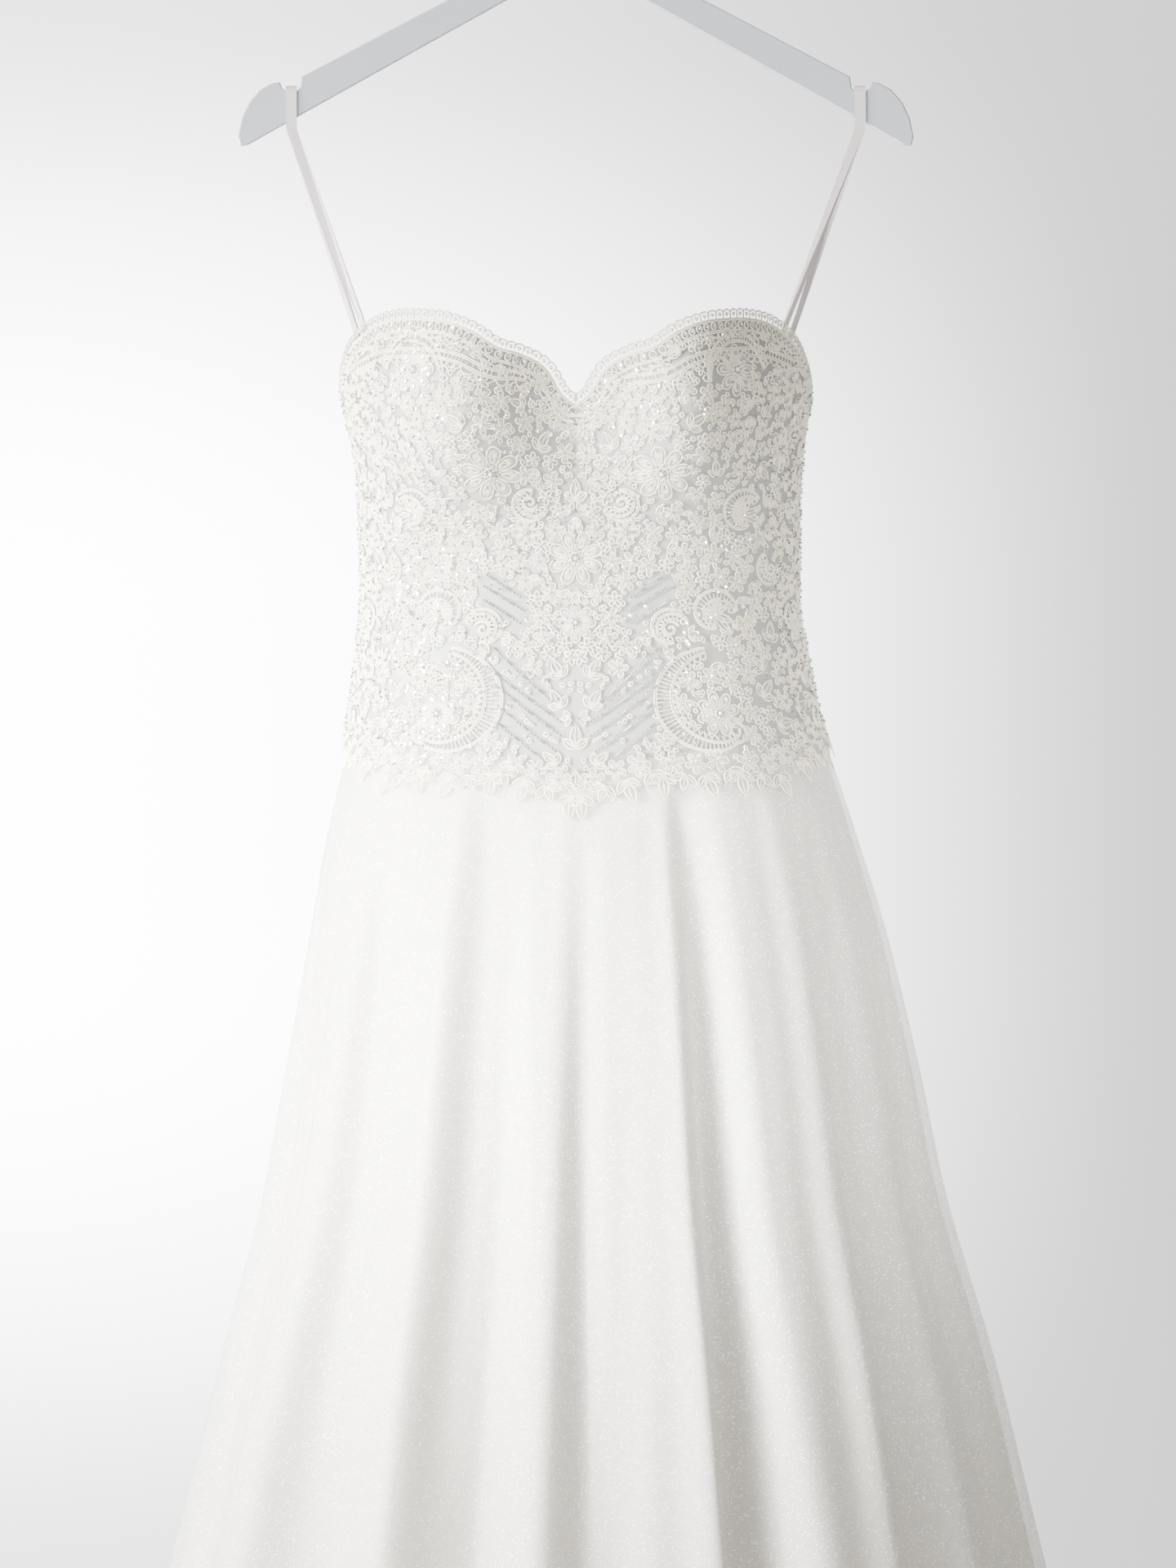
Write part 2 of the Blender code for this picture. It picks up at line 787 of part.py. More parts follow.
def triangulate(points, edges, outline):
    """Triangles inside an outline that keep every given edge, and where each point went."""
    result = delaunay_2d_cdt([Vector(p) for p in points], edges, [], 0, 1e-5)
    places = [(v.x, v.y) for v in result[0]]
    faces = []
    for face in result[2]:
        cx = sum(places[i][0] for i in face) / 3
        cy = sum(places[i][1] for i in face) / 3
        if inside(cx, cy, outline):
            faces.append(tuple(face))
    went = {old: new for new, olds in enumerate(result[3]) for old in olds}
    return places, faces, went


def distance_to_line(points, p, q):
    """Least distance of any of the points from the straight line between p and q."""
    p = np.array(p)
    along = np.array(q) - p
    share = np.clip((points - p) @ along / (along @ along), 0, 1)
    return np.linalg.norm(points - p - share[:, None] * along, axis=1).min()


def ring_edges(start, count):
    return [(start + k, start + (k + 1) % count) for k in range(count)]


def border_loop(faces):
    """Vertices round the edge of a triangulated piece, in order."""
    sides = {(f[k], f[(k + 1) % 3]) for f in faces for k in range(3)}
    follows = {a: b for a, b in sides if (b, a) not in sides}
    loop = [min(follows)]
    while follows[loop[-1]] != loop[0]:
        loop.append(follows[loop[-1]])
    return loop


def skirt_lift(x, y):
    """Extra distance of the lace from the gown where it hangs over the skirt."""
    over = float(seam_z(x / MM_PER_DEG)) - y
    return LACE_LIFT * min(max(over / 12.0, 0.0), 1.0)


def build_lace(name, outline, motifs, gap, cloth, material):
    """Closed lace wall whose inner face follows the bodice's faces and whose motifs are raised."""
    reach = [x for x, y in outline]
    flat_edges = cloth.edges_within(min(reach), max(reach))
    points = list(outline)
    edges = ring_edges(0, len(outline))
    for p, q in flat_edges:
        edges.append((len(points), len(points) + 1))
        points += [p, q]
    under, under_faces, _ = triangulate(points, edges, outline)
    loop = border_loop(under_faces)
    ring = [under[i] for i in loop]

    points = list(ring)
    edges = ring_edges(0, len(ring))
    heights = {}
    for foot, top, middle in motifs:
        if not all(inside(x, y, ring) for x, y in foot):
            continue
        for rim, height in ((foot, 0.0), (top, LACE_RAISE)):
            edges += ring_edges(len(points), len(rim))
            heights.update({len(points) + k: height for k in range(len(rim))})
            points += rim
        if middle:
            heights[len(points)] = LACE_RAISE * 0.4
            points.append(middle)
    taken = np.array(points)
    kept = {}
    for corner in sorted({p for edge in flat_edges for p in edge}):
        apart = np.linalg.norm(taken - np.array(corner), axis=1).min()
        needed = CUP_GROUND_POINT_GAP if corner[1] > CUP_FOOT_Z else GROUND_POINT_GAP
        if apart > needed and inside(corner[0], corner[1], ring):
            kept[corner] = len(points)
            points.append(corner)
    for p, q in flat_edges:
        if p in kept and q in kept and distance_to_line(taken, p, q) > EDGE_CLEARANCE:
            edges.append((kept[p], kept[q]))
    over, over_faces, went = triangulate(points, edges, ring)
    height_of = {went[old]: height for old, height in heights.items()}

    solid = [cloth.place(x, y, gap + skirt_lift(x, y)) for x, y in under]
    shift = len(solid)
    for k, (x, y) in enumerate(over):
        lift = gap + skirt_lift(x, y) + LACE_WALL + height_of.get(k, 0.0)
        solid.append(cloth.place(x, y, lift))
    faces = [tuple(reversed(f)) for f in under_faces]
    faces += [tuple(shift + i for i in f) for f in over_faces]
    for k in range(len(ring)):
        n = (k + 1) % len(ring)
        corner = (loop[k], loop[n], shift + went[n], shift + went[k])
        faces.append((corner[0], corner[1], corner[2]))
        faces.append((corner[0], corner[2], corner[3]))
    used = sorted({i for f in faces for i in f})
    index = {old: new for new, old in enumerate(used)}
    faces = [tuple(index[i] for i in f) for f in faces]
    return add_object(name, [solid[i] for i in used], faces, material)


def build_all_lace(cloth, lace, edge):
    front = placed_motifs(FRONT_MOTIFS, "both")
    left = placed_motifs(BACK_MOTIFS, "left")
    right = placed_motifs(BACK_MOTIFS, "right")
    zip_side = 180 - ZIP_EDGE_DEG
    build_lace("lace_front", lace_outline(-92.0, 92.0), front, SEAM_GAP, cloth, lace)
    build_lace("lace_back_left", lace_outline(-zip_side, -92.2), left, SEAM_GAP, cloth, lace)
    build_lace("lace_back_right", lace_outline(92.2, zip_side), right, SEAM_GAP, cloth, lace)
    build_lace("neckline_lace_edge", edging_outline(), (), SEAM_GAP, cloth, edge)


def build_zip(cloth, tape, metal):
    """Zip at the centre back, with a slider near its top and a hinged pull."""
    grid = bodice_grid(0)
    column = grid[:, 0]
    rows = len(column)
    outer = np.zeros((rows, 2, 3))
    inner = np.zeros((rows, 2, 3))
    for j in range(rows):
        x, y, z = column[j]
        for i, side in enumerate((1, -1)):
            outer[j, i] = (side * ZIP_HALF_WIDTH, y - 0.2, z)
            inner[j, i] = (side * ZIP_HALF_WIDTH, y - BODICE_WALL, z)
    wall_from_grids("zip_chain", outer, inner, tape)
    z = float(neckline_z(180)) - SLIDER_DROP
    y = float(gown_surface(np.array([180.0]), np.array([z]))[0, 1]) + 0.4
    build_slider(y, z, metal)
    build_pull(y + SLIDER_DEPTH + PIN_OUT, z + 2.0, metal)


def box_mesh(bm, size, middle):
    made = bmesh.ops.create_cube(bm, size=1.0)["verts"]
    bmesh.ops.scale(bm, vec=Vector(size), verts=made)
    bmesh.ops.translate(bm, vec=Vector(middle), verts=made)


def cylinder_mesh(bm, radius, length, middle, sides):
    spin = Matrix.Rotation(math.radians(90), 4, "Y")
    made = bmesh.ops.create_cone(
        bm, cap_ends=True, segments=sides, radius1=radius, radius2=radius, depth=length, matrix=spin
    )["verts"]
    bmesh.ops.translate(bm, vec=Vector(middle), verts=made)


def object_from_bmesh(name, bm, material=None):
    bmesh.ops.scale(bm, vec=Vector((MM, MM, MM)), verts=bm.verts[:])
    bmesh.ops.triangulate(bm, faces=bm.faces[:])
    mesh = bpy.data.meshes.new(name)
    bm.to_mesh(mesh)
    bm.free()
    if material:
        mesh.materials.append(material)
    o = bpy.data.objects.new(name, mesh)
    bpy.context.scene.collection.objects.link(o)
    return o


def joined_by_boolean(target, tools, operation):
    """Applies booleans with each tool in turn and removes the tools."""
    for tool in tools:
        m = target.modifiers.new("join", "BOOLEAN")
        m.operation = operation
        m.solver = "EXACT"
        m.object = tool
        bpy.context.view_layer.update()
        shape = bpy.data.meshes.new_from_object(
            target.evaluated_get(bpy.context.evaluated_depsgraph_get())
        )
        target.modifiers.clear()
        target.data = shape
        bpy.data.objects.remove(tool, do_unlink=True)


def build_slider(y, z, metal):
    """Slider body with two lugs and the pin that carries the pull."""
    bm = bmesh.new()
    box_mesh(bm, (4.0, SLIDER_DEPTH, 9.0), (0, y + SLIDER_DEPTH / 2, z))
    body = object_from_bmesh("zip_slider", bm, metal)
    pin_y = y + SLIDER_DEPTH + PIN_OUT
    tools = []
    for side in (-1, 1):
        bm = bmesh.new()
        box_mesh(bm, (1.0, PIN_OUT + 1.6, 3.0), (side * 2.2, pin_y - PIN_OUT / 2 + 0.6, z + 2.0))
        tools.append(object_from_bmesh("lug", bm))
    bm = bmesh.new()
    cylinder_mesh(bm, PIN_RADIUS, 4.4, (0, pin_y, z + 2.0), 10)
    tools.append(object_from_bmesh("pin", bm))
    joined_by_boolean(body, tools, "UNION")


def pull_half_outline():
    """Half of the pull seen from its side of the hinge, as half width and drop, top to bottom."""
    return (
        (1.3, -1.3),
        (1.3, 3.2),
        (PULL_WIDTH / 2, 4.6),
        (PULL_WIDTH / 2, PULL_LENGTH - 1.2),
        (PULL_WIDTH / 2 - 1.2, PULL_LENGTH),
    )


def build_pull(y, z, metal):
    """Flat pull that hangs from the slider's pin at y, z, with a slot cut for the pin."""
    outline = pull_half_outline()
    ring = [(x, z - drop) for x, drop in outline] + [(-x, z - drop) for x, drop in outline[::-1]]
    bm = bmesh.new()
    front = [bm.verts.new((px, y - PULL_HALF_THICK, pz)) for px, pz in ring]
    back = [bm.verts.new((px, y + PULL_HALF_THICK, pz)) for px, pz in ring]
    count = len(ring)
    for k in range(count):
        n = (k + 1) % count
        bm.faces.new((front[k], front[n], back[n], back[k]))
    bm.faces.new(front[::-1])
    bm.faces.new(back)
    bmesh.ops.recalc_face_normals(bm, faces=bm.faces[:])
    body = object_from_bmesh("zip_pull", bm, metal)
    bm = bmesh.new()
    cylinder_mesh(bm, PIN_RADIUS + SEAM_GAP, 6.0, (0, y, z), 12)
    joined_by_boolean(body, [object_from_bmesh("hole", bm)], "DIFFERENCE")


def build_hanger(material):
    """Flat hanger with softened edges, cut with a notch for each loop."""
    half = list(HANGER_HALF)
    ring = half + [(-x, z) for x, z in half[::-1]]
    inset = inset_ring(ring, HANGER_BEVEL)
    deep = HANGER_THICKNESS / 2
    layers = (
        (-deep, inset),
        (-deep + HANGER_BEVEL, ring),
        (deep - HANGER_BEVEL, ring),
        (deep, inset),
    )
    points = []
    for y, outline in layers:
        points += [(x, y, z) for x, z in outline]
    count = len(ring)
    faces = []
    for layer in range(3):
        for k in range(count):
            n = (k + 1) % count
            a = layer * count
            b = a + count
            faces.append((a + k, a + n, b + n, b + k))
    places = [Vector(p) for p in inset]
    result = delaunay_2d_cdt(places, [], [list(range(count))], 1, 1e-6)
    for face in result[2]:
        olds = [result[3][i][0] for i in face]
        faces.append(tuple(olds))
        faces.append(tuple(3 * count + i for i in reversed(olds)))
    add_object("hanger_body", points, faces, material, smooth=False)


def inset_ring(ring, amount):
    """Outline drawn inward by an amount, corner by corner."""
    found = []
    count = len(ring)
    turn = sum(
        ring[k][0] * ring[(k + 1) % count][1] - ring[(k + 1) % count][0] * ring[k][1]
        for k in range(count)
    )
    sign = 1 if turn > 0 else -1
    for k in range(count):
        before = Vector(ring[k - 1])
        here = Vector(ring[k])
        after = Vector(ring[(k + 1) % count])
        one = (here - before).normalized()
        two = (after - here).normalized()
        normal = Vector((-one.y - two.y, one.x + two.x)).normalized() * sign
        lean = max(0.5, normal.dot(Vector((-one.y, one.x)) * sign))
        found.append(tuple(here + normal * amount / lean))
    return found


def hook_path():
    """Middle line of the hook's wire, from its tip over the top and down to the collar."""
    centre_z = HOOK_WIRE - (HOOK_INNER_RADIUS + HOOK_WIRE)
    radius = HOOK_INNER_RADIUS + HOOK_WIRE
    path = []
    for k in range(15):
        a = math.radians(HOOK_TIP_ANGLE + (-52.0 - HOOK_TIP_ANGLE) * k / 14)
        path.append((radius * math.cos(a), centre_z + radius * math.sin(a)))
    end_x, end_z = path[-1]
    bottom = HANGER_HALF[0][1] + SEAM_GAP + HOOK_COLLAR_HEIGHT
    for k in range(1, 5):
        t = k / 4
        path.append((end_x * (1 - t) ** 2, end_z + (bottom - end_z) * t))
    return path


def build_hook(metal):
    path = hook_path()
    points = []
    faces = []
    rings = []
    for k, (x, z) in enumerate(path):
        before = path[max(k - 1, 0)]
        after = path[min(k + 1, len(path) - 1)]
        along = Vector((after[0] - before[0], 0, after[1] - before[1])).normalized()
        if k == len(path) - 1:
            along = Vector((0, 0, -1))
        side = Vector((0, 1, 0))
        up = along.cross(side).normalized()
        ring = []
        for s in range(HOOK_SIDES):
            a = 2 * math.pi * s / HOOK_SIDES
            ring.append(Vector((x, 0, z)) + side * HOOK_WIRE * math.cos(a) + up * HOOK_WIRE * math.sin(a))
        rings.append(ring)
    top_of_collar = rings[-1]
    bottom = HANGER_HALF[0][1] + SEAM_GAP
    for radius, z in ((HOOK_COLLAR_RADIUS, top_of_collar[0].z), (HOOK_COLLAR_RADIUS, bottom)):
        ring = []
        for p in top_of_collar:
            flat = Vector((p.x, p.y, 0)).normalized() * radius
            ring.append(Vector((flat.x, flat.y, z)))
        rings.append(ring)
    for ring in rings:
        points += [tuple(p) for p in ring]
    for r in range(len(rings) - 1):
        for s in range(HOOK_SIDES):
            n = (s + 1) % HOOK_SIDES
            a = r * HOOK_SIDES
            b = a + HOOK_SIDES
            faces.append((a + s, a + n, b + n, b + s))
    faces.append(tuple(reversed(range(HOOK_SIDES))))
    last = (len(rings) - 1) * HOOK_SIDES
    faces.append(tuple(last + s for s in range(HOOK_SIDES)))
    add_object("hanger_hook", points, faces, metal)


def tucked_section(cloth, angle, drop, outer_lift, inner_lift):
    """Four corners of a ribbon that lies inside the bodice, a given drop below its top edge."""
    corners = []
    for lift in (outer_lift, inner_lift):
        for edge in (-0.5, 0.5):
            x = angle * MM_PER_DEG + edge * LOOP_WIDTH
            top = float(neckline_z(x / MM_PER_DEG))
            corners.append(cloth.place(x, top - drop, -lift))
    return corners


def free_section(side, y, z, lean):
    """Four corners of a ribbon near the hanger, its outer face turned by an angle from the front."""
    out = Vector((0, -math.cos(lean), math.sin(lean))) * LOOP_THICK / 2
    middle = Vector((side * NOTCH_X, y, z))
    corners = []
    for face in (out, -out):
        for edge in (-0.5, 0.5):
            corners.append(tuple(middle + face + Vector((edge * LOOP_WIDTH, 0, 0))))
    return corners


def build_loop(name, side, cloth, material):
    """Ribbon loop: up from inside the bodice, over the notch and down behind."""
    near = BODICE_WALL + SEAM_GAP
    far = near + LOOP_THICK
    deep = HANGER_THICKNESS / 2 + SEAM_GAP + LOOP_THICK / 2
    front = side * LOOP_FRONT_ANGLE
    back = side * LOOP_BACK_ANGLE
    sections = [tucked_section(cloth, front, drop, near, far) for drop in LOOP_TUCKS]
    sections.append(free_section(side, -deep, NOTCH_Z - 25.0, 0.0))
    sections.append(free_section(side, -deep, NOTCH_Z - 1.0, 0.0))
    sections.append(free_section(side, -deep * 0.72, NOTCH_Z + 1.6, math.radians(45)))
    sections.append(free_section(side, 0.0, NOTCH_Z + 2.3, math.radians(90)))
    sections.append(free_section(side, deep * 0.72, NOTCH_Z + 1.6, math.radians(135)))
    sections.append(free_section(side, deep, NOTCH_Z - 1.0, math.radians(180)))
    sections.append(free_section(side, deep, NOTCH_Z - 25.0, math.radians(180)))
    sections += [tucked_section(cloth, back, drop, far, near) for drop in LOOP_TUCKS[::-1]]
    outer = np.array([s[:2] for s in sections])
    inner = np.array([s[2:] for s in sections])
    wall_from_grids(name, outer, inner, material)


def main():
    clear_scene()
    satin = make_material("satin", (0.80, 0.78, 0.74), 0.45)
    bodice = make_material("bodice_satin", (0.72, 0.71, 0.68), 0.45)
    tulle = make_material("glitter_tulle", (0.86, 0.84, 0.81), 0.55)
    lace = make_material("corded_lace", (0.88, 0.86, 0.81), 0.7)
    edge = make_material("lace_edging", (0.90, 0.88, 0.83), 0.7)
    ribbon = make_material("ribbon", (0.90, 0.86, 0.84), 0.35)
    acrylic = make_material("frosted_acrylic", (0.80, 0.83, 0.86), 0.25)
    chrome = make_material("chrome", (0.75, 0.75, 0.76), 0.15, metallic=1.0)
    tape = make_material("zip_tape", (0.84, 0.82, 0.78), 0.6)
    build_bodice(bodice)
    build_skirt(satin, tulle)
    cloth = Cloth()
    build_all_lace(cloth, lace, edge)
    build_zip(cloth, tape, chrome)
    build_hanger(acrylic)
    build_hook(chrome)
    build_loop("hanger_loop_left", -1, cloth, ribbon)
    build_loop("hanger_loop_right", 1, cloth, ribbon)


main()
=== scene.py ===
"""Looks of the wedding gown: fine cloth, corded lace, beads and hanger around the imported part.

Working sizes are in millimetres and become metres when a mesh is made.
"""

import math
import random

import bpy
import numpy as np
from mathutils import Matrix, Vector

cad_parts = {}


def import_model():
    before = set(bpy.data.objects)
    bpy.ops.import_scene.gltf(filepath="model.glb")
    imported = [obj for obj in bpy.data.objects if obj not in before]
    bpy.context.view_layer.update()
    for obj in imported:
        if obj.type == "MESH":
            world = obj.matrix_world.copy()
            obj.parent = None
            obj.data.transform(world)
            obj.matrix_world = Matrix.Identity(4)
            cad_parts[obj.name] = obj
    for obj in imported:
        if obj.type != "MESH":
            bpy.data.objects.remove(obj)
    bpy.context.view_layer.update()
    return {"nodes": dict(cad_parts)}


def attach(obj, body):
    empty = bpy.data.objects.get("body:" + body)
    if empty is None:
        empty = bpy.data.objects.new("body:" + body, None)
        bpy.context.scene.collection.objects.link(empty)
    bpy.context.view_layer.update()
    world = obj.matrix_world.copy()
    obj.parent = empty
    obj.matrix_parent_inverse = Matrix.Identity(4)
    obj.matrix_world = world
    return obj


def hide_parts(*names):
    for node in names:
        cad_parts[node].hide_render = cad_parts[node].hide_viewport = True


MM = 0.001
SEED = 7

# The gown's cloth, in mm, with angles in degrees from the centre front. Stand-offs are at waist and hem.
BODICE_WALL = 2.0
SATIN_WALL = 1.2
TULLE_STANDOFF = (0.4, 0.0)
SATIN_STANDOFF = (1.8, 10.0)
SKIRT_ROWS = 72
ROW_CROWDING = 1.35
SIDE_DEG = 92
BACK_EDGE_DEG = 179
FOLD_TOP_Z = -560
HEM_Z = -1699.5
WAIST_TUCK = 1.0
TUCK_DEPTH = 2.0
TUCK_LENGTH = 14.0
RIPPLE_ROOM = 1.5
CUP_X = 76.0
CUP_WIDTH = 47.0
CUP_RISE = 34.0
CUP_FADE = 0.35
SQUARENESS = 0.09

# The lace's cords, beads, net and edge, in mm.
LACE_LOW_Z = -618.0
LACE_TOP_Z = -304.0
NET_LIFT = 0.7
NET_SCALLOP = 3.0
NET_SCALLOP_WAVES = 27
OVER_SKIRT_LIFT = 0.9
OVER_SKIRT_RUN = 12.0
CORD_LIFT = 1.1
CORD_RADIUS = 0.44
FINE_RADIUS = 0.32
PEARL_RADIUS = 1.25
SEED_BEAD_RADIUS = 0.95
RAY_BEAD_RADIUS = 0.85
CRYSTAL_RADIUS = 0.8
BUGLE_LENGTH = 4.4
BUGLE_RADIUS = 0.75
SEQUIN_RADIUS = 1.9
SEQUIN_DISH = 0.35
PEARL_LIFT = 2.6
BEAD_LIFT = 2.3
RAY_LIFT = 1.9
SEQUIN_LIFT = 2.0
RAY_MM_PER_DEG = 2.8
RAY_CLEARANCE = 3.0
SPARKLES = 3600
EDGE_PITCH = 5.8
EDGE_RADIUS = 0.72
EDGE_END_DEG = 178.8
EDGE_STEPS = 1200
EDGE_LOOP_HEIGHT = 5.4
EDGE_HANGING_LOOP = 3.4
EDGE_CORD_DROPS = (0.6, 1.8, 8.2, 9.4)
EDGE_RING_DROP = 5.0
LOOP_SWELL = 0.16
LOOP_ROUNDNESS = 0.55
CUP_BAND_ANGLES = (9.0, 74.0)
CUP_BAND_DROP = 20.0
CUP_BAND_CORDS = (0.0, 1.3, 5.0, 6.3)
CUP_BAND_STEPS = 90

# Heights of the table of distances round the gown.
GIRTH_LOW = -650.0
GIRTH_HIGH = -285.0
GIRTH_STEP = 5.0

# Map of the cloth that motifs cover, in squares of 1 mm: one half of the gown, unrolled.
MAP_WIDE = 560
MAP_HIGH = 360
MAP_LOW = -645.0

# Photo geometry: one pixel of the 1440 by 1920 picture in the hanger's plane, and its centre.
PIXEL = 0.533
PHOTO_CENTRE_X = 8.0
PHOTO_CENTRE_Z = -605.0
PHOTO_HEIGHT_PIXELS = 1920
CAMERA_DISTANCE = 9000.0
SENSOR = 36.0

FLOOR_Z = -1800.0
FLOOR_RADIUS = 10500.0

# Light of the room: dim below, brighter at the ceiling. The wall is seen by the camera alone, and its glow
# is painted light: a pool of window light on the wall that lights nothing.
ROOM_DIM = 0.17
ROOM_CEILING = 1.0
WALL_BASE = 1.45
WALL_GLOW = 14.0
WALL_GLOW_AT_EDGES = 0.15
ROOM_COLOUR = (1.0, 0.955, 0.90)
WALL_COLOUR = (1.0, 0.99, 1.0)

# Soft window light from the left, with a narrow band of it that is brightest across the waist.
# Columns: name, place, target, size in metres, power in watts, spread in degrees.
LIGHTS = (
    ("window_left", (-3.0, -1.9, 0.3), (0, 0, -0.7), (2.6, 3.0), 580.0, 180.0),
    ("window_side", (-3.4, -0.2, -0.7), (0, 0, -0.75), (1.6, 1.4), 230.0, 180.0),
    ("window_band", (-3.0, -1.9, -0.4), (0, 0, -0.70), (2.2, 0.4), 44.0, 16.0),
    ("fill_band", (2.0, -3.0, -0.55), (0.1, 0, -0.66), (1.2, 0.25), 4.0, 14.0),
    ("fill_front", (0.8, -4.0, 0.4), (0, 0, -0.7), (2.5, 2.5), 45.0, 180.0),
    ("fill_back", (1.6, 3.4, 0.9), (0, 0, -0.7), (2.0, 2.0), 130.0, 180.0),
)

# Linear colours of the materials.
THREAD = (0.77, 0.715, 0.57)
# The edge thread is a darker copy of the lace thread: painted shade on the edge cords that stand against
# the wall.
SHADED_EDGE_THREAD = (0.58, 0.535, 0.43)
STITCHING = (0.74, 0.70, 0.60)
LACE_NET = (0.80, 0.79, 0.76)
PEARL = (0.82, 0.80, 0.77)
SEED_BEAD = (0.52, 0.53, 0.55)
SILVER_BEAD = (0.30, 0.31, 0.33)
SEQUIN = (0.85, 0.86, 0.88)
SEQUIN_COOL = (0.80, 0.86, 0.93)
SEQUIN_WARM = (0.94, 0.86, 0.82)
# The bodice satin is painted shade: both tones are far darker than the satin's own pale ivory, so they
# stand in for the small shadows among the lace cords. Noise mixes the two tones at random.
BODICE_SATIN_SHADED = (0.32, 0.315, 0.29)
BODICE_SATIN_SHADED_DARKER = (0.26, 0.255, 0.23)
SKIRT_SATIN = (0.76, 0.73, 0.65)
SKIRT_SATIN_DARK = (0.70, 0.67, 0.59)
TULLE = (0.73, 0.705, 0.65)
# Glitter flake colours: the white is a painted glint, the dark is a painted dark reflection.
PAINTED_GLINT_FLAKE = (1.0, 1.0, 1.0)
PAINTED_DARK_REFLECTION_FLAKE = (0.27, 0.28, 0.30)
ACRYLIC = (0.56, 0.59, 0.64)
RIBBON = (0.50, 0.445, 0.45)
CHROME = (0.78, 0.78, 0.79)
ZIP_TAPE = (0.76, 0.74, 0.71)
PAPER = (0.84, 0.835, 0.83)

# Half widths and depths of the gown at each height. Columns: z, left, right, front, back.
OUTLINE = (
    (-290, 150.0, 148.0, 96.0, 84.0),
    (-326, 152.0, 150.0, 100.0, 90.0),
    (-350, 152.0, 152.5, 101.0, 94.0),
    (-374, 147.0, 149.0, 99.0, 95.0),
    (-398, 142.0, 146.5, 95.0, 94.0),
    (-422, 140.5, 145.0, 91.0, 91.0),
    (-446, 140.0, 145.0, 88.0, 88.0),
    (-470, 139.0, 145.0, 88.0, 86.0),
    (-494, 139.5, 145.5, 90.0, 87.0),
    (-518, 142.0, 150.0, 94.0, 90.0),
    (-542, 145.0, 154.5, 99.0, 95.0),
    (-566, 148.0, 160.0, 105.0, 101.0),
    (-590, 151.5, 167.5, 111.0, 108.0),
    (-614, 157.0, 175.5, 117.0, 114.0),
    (-638, 162.0, 183.0, 123.0, 120.0),
    (-686, 171.0, 198.0, 135.0, 132.0),
    (-782, 187.5, 222.0, 156.0, 154.0),
    (-878, 205.0, 242.0, 176.0, 174.0),
    (-974, 231.0, 270.0, 196.0, 195.0),
    (-1094, 262.0, 300.0, 220.0, 221.0),
    (-1400, 335.0, 375.0, 280.0, 284.0),
    (-1700, 405.0, 445.0, 335.0, 340.0),
)

# How far the cups stand out at each height. Columns: z, share of the full rise.
CUP_PROFILE = (
    (-290, 0.50),
    (-310, 0.66),
    (-340, 0.92),
    (-362, 1.00),
    (-385, 0.94),
    (-405, 0.66),
    (-425, 0.28),
    (-445, 0.05),
    (-460, 0.00),
)

# Upper edge of the bodice round one half. Columns: angle, z.
NECKLINE = (
    (0, -360.0),
    (3, -353.0),
    (6, -339.0),
    (12, -328.0),
    (18, -323.0),
    (24, -313.0),
    (30, -307.0),
    (38, -304.0),
    (46, -303.5),
    (54, -306.0),
    (62, -312.0),
    (72, -322.0),
    (82, -336.0),
    (92, -350.0),
    (116, -370.0),
    (140, -383.0),
    (180, -391.0),
)

# Seam between bodice and skirt. Columns: angle, z.
SEAM = (
    (0, -598.0),
    (12, -588.0),
    (30, -582.0),
    (54, -576.0),
    (72, -566.0),
    (92, -556.0),
    (140, -562.0),
    (180, -572.0),
)

# Lower edge of the lace, over the seam. Columns: angle, z.
LACE_HEM = (
    (0, -618.0),
    (8, -604.0),
    (25, -600.0),
    (48, -600.0),
    (62, -590.0),
    (90, -574.0),
    (140, -578.0),
    (180, -600.0),
)

# Ridges and troughs of the skirt: where each line starts and ends round the gown, how far it is sunk
# in at the hem, and the height where it begins. Columns: angle at the top, angle at the hem, depth, z.
FOLDS = (
    (-180, -180, 66, -640),
    (-170, -168, 0, -640),
    (-157, -155, 54, -650),
    (-143, -141, 0, -650),
    (-128, -126, 62, -640),
    (-113, -111, 0, -640),
    (-99, -98, 46, -660),
    (-85, -84, 0, -660),
    (-69, -72, 40, -680),
    (-53, -59, 0, -640),
    (-42, -38, 62, -640),
    (-27, -23, 6, -640),
    (-17, -12.5, 66, -600),
    (-6, -6.5, 8, -600),
    (3, 2, 44, -660),
    (16.5, 17, 2, -620),
    (22.5, 23.5, 74, -596),
    (31, 31, 0, -596),
    (44, 39, 12, -620),
    (58, 47, 58, -620),
    (65, 57, 14, -640),
    (72, 68, 60, -620),
    (88, 86, 0, -620),
    (103, 103, 52, -650),
    (117, 119, 0, -650),
    (131, 134, 64, -640),
    (146, 148, 0, -640),
    (159, 160, 50, -660),
    (170, 171, 0, -660),
    (180, 180, 66, -640),
)
COLUMNS_PER_FOLD = 12

# Uneven creases between the folds. Columns: height in mm, waves round the gown, where they start, then
# how far they sway with height, the sway's length and start, and how far and how often they drift.
CREASES = (
    (2.3, 29, 0.0, 0.9, 190.0, 0.0, 1.5, 3),
    (1.4, 47, 1.7, 1.3, 260.0, 1.0, 1.2, 5),
)
SHIVER_HEIGHT = 0.4
SHIVER_LENGTH = 61.0
SHIVER_WAVES = 9
CREASE_START_Z = -590
CREASE_GROWTH = 420

